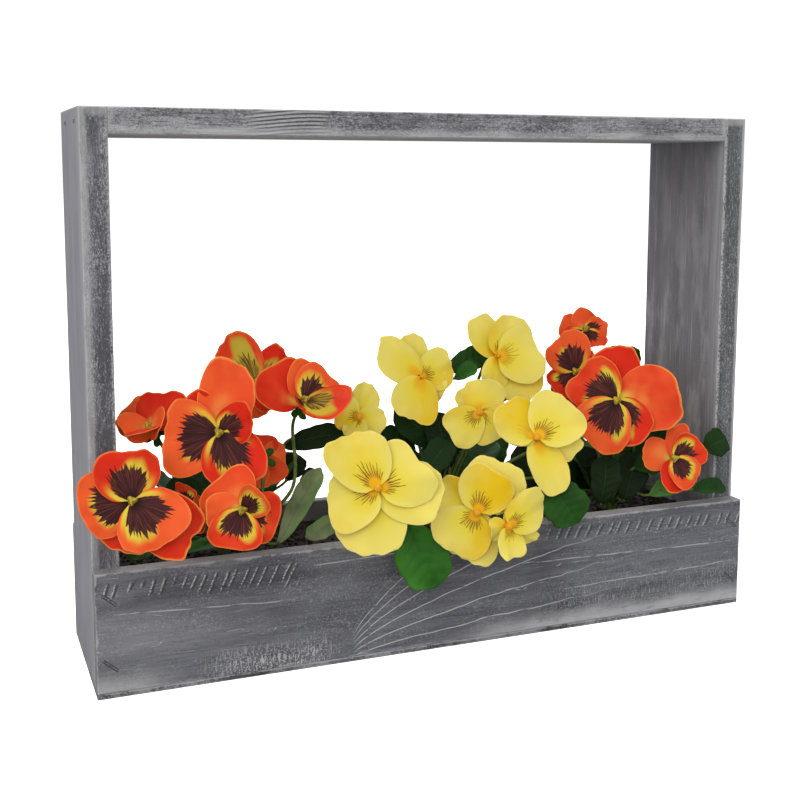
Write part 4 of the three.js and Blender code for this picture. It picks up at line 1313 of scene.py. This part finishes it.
def calyx_mesh(place, material, draw):
    """The green cup behind a flower, with five pointed sepals."""
    top = -CORE_BACK - GAP
    foot = top - CALYX_LONG
    profile = [(0, foot), (BRANCH_RADIUS, foot), (BRANCH_RADIUS * 1.1, foot + 3),
               (CORE_RADIUS * 1.1, top - 1.5), (CORE_RADIUS * 1.2, top), (0, top)]
    points, faces = turned(profile, CALYX_SIDES)
    grid = blade_grid(*SEPAL_GRID, 1)
    sheet = len(grid["across"]) // 2
    for k in range(SEPALS):
        angle = 2 * math.pi * k / SEPALS + draw.uniform(-0.2, 0.2)
        long = SEPAL_LONG * draw.uniform(0.85, 1.1)
        east, north = math.cos(angle), math.sin(angle)
        start = len(points)
        for n, (u, v) in enumerate(zip(grid["across"], grid["along"])):
            x = 1.2 + long * 0.86 * math.sin(v * 1.35)
            y = u * (SEPAL_HALF * math.sin(math.pi * min(v * 0.86 + 0.14, 1)) ** 0.8 + 0.05)
            up = top - 2.4 + long * 0.30 * v * v + (0.2 if n < sheet else -0.2) + u * u * 0.5
            points.append((x * east - y * north, x * north + y * east, up))
        faces += [[c + start for c in face] for face in grid["faces"]]
    placed = [place @ (Vector(p) * MM) for p in points]
    numbers = {label: [share] * len(placed)
               for label, share in (("tone", 0.4), ("along", 0.5), ("across", 0.5))}
    return mesh_from("calyx", placed, faces, numbers, [material])


def chain_mesh(chains):
    """Chains of edges, each with the thickness of its stem."""
    points, edges, thick = [], [], []
    for path, radius in chains:
        start = len(points)
        points += [tuple(spot * MM) for spot in path]
        edges += [(start + k, start + k + 1) for k in range(len(path) - 1)]
        thick += [radius * MM] * len(path)
    mesh = bpy.data.meshes.new("stems")
    mesh.from_pydata(points, edges, [])
    store(mesh, "thick", thick)
    return mesh


# Settings that a user would change

def colour_property(name, description, levels):
    """A colour that a user can pick."""
    return FloatVectorProperty(name=name, description=description, default=levels[:3],
                               subtype="COLOR", min=0, max=1)


class WoodSettings(bpy.types.PropertyGroup):
    pale: colour_property("Pale", "Colour of rubbed spots and worn edges", rgb("#acacb0"))
    scuffs: FloatProperty(
        name="Scuffs", description="How much of the wash is rubbed off", default=1, min=0,
        max=2, subtype="FACTOR")
    edge_reach: FloatProperty(
        name="Edge wear", description="How far the wear reaches in from an edge, in mm",
        default=1.6, min=0, max=10)


class SoilSettings(bpy.types.PropertyGroup):
    colour: colour_property("Soil", "Colour of the dry crumbs", rgb("#2c2016"))
    crumb: FloatProperty(
        name="Crumb size", description="Radius of a middling crumb", default=0.0013,
        min=0.0003, max=0.004, unit="LENGTH")
    count: IntProperty(
        name="Crumbs", description="How many crumbs lie on the soil", default=2400, min=0,
        max=6000)


class PetalSettings(bpy.types.PropertyGroup):
    orange: colour_property("Orange", "Deepest colour of the orange petals", rgb("#d2240b"))
    yellow: colour_property("Yellow", "Middle colour of the yellow petals", rgb("#e4d03c"))
    blotch: colour_property("Blotch", "Colour of the dark blotch", rgb("#3c181a"))
    thickness: FloatProperty(
        name="Thickness", description="Thickness of a petal in mm", default=0.3, min=0.2,
        max=1)


class LeafSettings(bpy.types.PropertyGroup):
    dark: colour_property("Dark leaf", "Colour of the shaded leaves", rgb("#11270b"))
    bright: colour_property("Bright leaf", "Colour of the leaves in the light", rgb("#31701f"))


class StageSettings(bpy.types.PropertyGroup):
    floor: colour_property("Floor", "Colour of the floor", (0.9, 0.9, 0.9))
    light: FloatProperty(
        name="Light", description="Strength of the studio lights", default=1, min=0, max=5,
        subtype="FACTOR")


class WINDOWBOX_OT_stage(bpy.types.Operator):
    """Set up the floor, the soft studio lights and the camera"""

    bl_idname = "window_box.stage"
    bl_label = "Stage"

    def execute(self, context):
        settings = context.scene.window_box_stage
        context.scene.view_settings.view_transform = "Standard"
        self.make_floor(settings.floor)
        self.make_world(context.scene)
        for name, (place, size, watts) in LIGHTS.items():
            self.make_light(name, Vector(place), size, watts * settings.light)
        self.make_camera(context.scene)
        return {"FINISHED"}

    def make_floor(self, levels):
        """A pale floor that shows white and throws little of its colour on the part."""
        made, tree = new_material("floor")
        seen = add(tree, "ShaderNodeLightPath")
        bounce = [FLOOR_BOUNCE * level for level in levels]
        finish(made, blend(seen, [*bounce, 1], [*levels, 1]), 0.8)
        shader = tree.nodes["Principled BSDF"]
        put((1, 1, 1, 1), shader.inputs["Emission Color"])
        put(seen * FLOOR_GLOW, shader.inputs["Emission Strength"])
        side = FLOOR_REACH
        points = [(-side, -side, 0), (side, -side, 0), (side, side, 0), (-side, side, 0)]
        floor = link("floor", mesh_from("floor", points, [(0, 1, 2, 3)], materials=[made]))
        floor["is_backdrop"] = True

    def make_world(self, scene):
        """Even white light all round, brighter to the camera's eye than on the part."""
        world = bpy.data.worlds.new("studio")
        world.use_nodes = True
        sky = world.node_tree.nodes["Background"]
        put((1, 1, 1, 1), sky.inputs["Color"])
        seen = add(world.node_tree, "ShaderNodeLightPath")
        put(WORLD_LIGHT + seen * WORLD_SEEN, sky.inputs["Strength"])
        scene.world = world

    def make_light(self, name, place, size, watts):
        """A square soft light that points at the flowers."""
        lamp = bpy.data.lights.new(name, "AREA")
        lamp.size = size
        lamp.energy = watts
        made = link(name, lamp)
        made.location = place
        made.rotation_euler = (LIGHTS_AIM - place).to_track_quat("-Z", "Y").to_euler()

    def make_camera(self, scene):
        """The camera of the photograph."""
        camera = bpy.data.cameras.new("camera")
        camera.sensor_width = SENSOR
        camera.lens = FOCAL_PIXELS * SENSOR / FRAME_SIDE
        camera.shift_x = (FRAME_SIDE / 2 - AXIS_PIXEL[0]) / FRAME_SIDE
        camera.shift_y = (AXIS_PIXEL[1] - FRAME_SIDE / 2) / FRAME_SIDE
        camera.clip_start = 0.01
        camera.clip_end = 100
        yaw, pitch, roll = map(math.radians, (CAMERA_YAW, CAMERA_PITCH, CAMERA_ROLL))
        ahead = Vector((math.sin(yaw) * math.cos(pitch), math.cos(yaw) * math.cos(pitch),
                        math.sin(pitch)))
        right = Vector((math.cos(yaw), -math.sin(yaw), 0))
        up = right.cross(ahead)
        tilted = right * math.cos(roll) + up * math.sin(roll)
        upright = up * math.cos(roll) - right * math.sin(roll)
        place = Matrix((tilted, upright, -ahead)).transposed().to_4x4()
        place.translation = CAMERA_PLACE
        scene.camera = link("camera", camera)
        scene.camera.matrix_world = place


class WINDOWBOX_OT_wood(bpy.types.Operator):
    """Finish the boards in worn grey wash"""

    bl_idname = "window_box.wood"
    bl_label = "Wooden boards"

    def execute(self, context):
        for board in BOARDS:
            cover(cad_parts[board], wood_material(board))
        return {"FINISHED"}


class WINDOWBOX_OT_staples(bpy.types.Operator):
    """Finish the staples in dulled steel"""

    bl_idname = "window_box.staples"
    bl_label = "Staples"

    def execute(self, context):
        steel = plain_material("staple_steel")
        for name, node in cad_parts.items():
            if name.startswith("staple"):
                cover(node, steel)
        return {"FINISHED"}


class WINDOWBOX_OT_soil(bpy.types.Operator):
    """Lay crumbled soil between the boards"""

    bl_idname = "window_box.soil"
    bl_label = "Soil"

    def execute(self, context):
        settings = context.scene.window_box_soil
        low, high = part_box("soil")
        area = (high.x - low.x) * (high.y - low.y)
        crumbs = grow(soil_mesh(low, high), soil_tree(soil_material()), crumb=settings.crumb,
                      density=settings.count / area)
        settle(link("soil_crumbled", crumbs), "soil", "soil")
        return {"FINISHED"}


class WINDOWBOX_OT_flowers(bpy.types.Operator):
    """Shape the pansies' petals and eyes"""

    bl_idname = "window_box.flowers"
    bl_label = "Flowers"

    def execute(self, context):
        settings = context.scene.window_box_petals
        trees = {
            kind: petal_tree([build(f"{kind}_face", False), build(f"{kind}_back", True)])
            for kind, build in (("orange", orange_material), ("yellow", yellow_material))}
        eyes = {"orange": plain_material("eye_olive"), "yellow": plain_material("eye_gold")}
        for name, kind, at, turn, tip, petals in FLOWERS:
            draw = random.Random(ord(name) * 7)
            blades = petals_mesh(trees[kind], petals, draw, settings.thickness)
            top = (len(petals) - 1) / 2 * LAYER_STEP + EYE_RISE
            eye = eye_mesh(kind, top, eyes[kind], EYE_SIDE_ON if name in SIDE_ON else 1)
            flower = joined(f"pansy_{name}", [blades, eye])
            place, _ = flower_place(at, turn, tip)
            flower.data.transform(place)
            settle(flower, f"petal_{kind}", f"bloom_{name}")
        return {"FINISHED"}


class WINDOWBOX_OT_plants(bpy.types.Operator):
    """Grow the trunks, branches, calyxes and leaves"""

    bl_idname = "window_box.plants"
    bl_label = "Plants"

    def execute(self, context):
        green = leaf_material("leaf", False)
        sides = [green, leaf_material("leaf_under", True)]
        tree = stem_tree(plain_material("stem_green"))
        flowers = {row[0]: row[2:5] for row in FLOWERS}
        for plant, (trunk, names, passes) in PLANTS.items():
            draw = random.Random(plant)
            chains = [self.trunk_chain(trunk)]
            meshes = []
            paths = {}
            for name in names:
                place, out = flower_place(*flowers[name])
                paths[name] = branch_path(trunk, flowers[name][0], out, passes.get(name))
                chains.append((paths[name], BRANCH_RADIUS * BRANCH_THIN))
                meshes.append(calyx_mesh(place, green, draw))
            for leaf in self.leaf_rows(plant, trunk, paths, draw):
                stalk, points, faces, numbers, slots = leaf_blade(*leaf)
                chains.append((stalk, STALK_RADIUS))
                meshes.append(mesh_from("leaf", points * MM, faces, numbers, sides, slots))
            meshes.append(grow(chain_mesh(chains), tree))
            settle(joined(f"greens_{plant}", meshes), "foliage", f"plant_{plant}")
        return {"FINISHED"}

    def trunk_chain(self, trunk):
        """The trunk, from its root in the soil up."""
        heights = np.linspace(SOIL_TOP - ROOT_DEEP, SOIL_TOP + TRUNK_RISE, TRUNK_STEPS)
        return [Vector((*trunk, z)) for z in heights], TRUNK_RADIUS

    def leaf_rows(self, plant, trunk, paths, draw):
        """Each leaf of a plant, with the spot on the trunk or branch that it grows from."""
        for k, (base, tip, wide, upward, tone, *branch) in enumerate(LEAVES[plant]):
            base, tip = Vector(base), Vector(tip)
            if branch:
                path = paths[branch[0]][2:BRANCH_STEPS - 4]
                start = min(path, key=lambda spot: (spot - base).length)
            else:
                start = trunk_spot(trunk, base, SOIL_TOP + 3 + (k % 3) * 1.6)
            yield start, base, tip, wide, upward, tone
        for base, tip, wide in ring_leaves(trunk):
            start = trunk_spot(trunk, base, SOIL_TOP + 1.5)
            yield start, base, tip, wide, RING["upward"], draw.uniform(*RING["tones"])


OPERATORS = (WINDOWBOX_OT_stage, WINDOWBOX_OT_wood, WINDOWBOX_OT_staples, WINDOWBOX_OT_soil,
             WINDOWBOX_OT_flowers, WINDOWBOX_OT_plants)
SETTINGS = {"window_box_stage": StageSettings, "window_box_wood": WoodSettings,
            "window_box_soil": SoilSettings, "window_box_petals": PetalSettings,
            "window_box_leaves": LeafSettings}


class WINDOWBOX_PT_panel(bpy.types.Panel):
    """Lists the steps that finish the window box"""

    bl_label = "Window box"
    bl_idname = "WINDOWBOX_PT_panel"
    bl_space_type = "VIEW_3D"
    bl_region_type = "UI"
    bl_category = "Window box"

    def draw(self, context):
        for operator in OPERATORS:
            self.layout.operator(operator.bl_idname)
        for name, group in SETTINGS.items():
            for prop in group.__annotations__:
                self.layout.prop(getattr(context.scene, name), prop)


def register():
    for group in SETTINGS.values():
        bpy.utils.register_class(group)
    for name, group in SETTINGS.items():
        setattr(bpy.types.Scene, name, PointerProperty(type=group))
    for made in (*OPERATORS, WINDOWBOX_PT_panel):
        bpy.utils.register_class(made)


def unregister():
    for made in (WINDOWBOX_PT_panel, *reversed(OPERATORS)):
        bpy.utils.unregister_class(made)
    for name, group in SETTINGS.items():
        delattr(bpy.types.Scene, name)
        bpy.utils.unregister_class(group)


def main():
    """Finishes every piece in turn."""
    register()
    bpy.ops.window_box.stage()
    bpy.ops.window_box.wood()
    bpy.ops.window_box.staples()
    bpy.ops.window_box.soil()
    bpy.ops.window_box.flowers()
    bpy.ops.window_box.plants()
    boxes = {"cad": CAD_BOX, "visual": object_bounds()}
    {key: [list(corner) for corner in box] for key, box in boxes.items()}


if __name__ == "__main__":
    main()
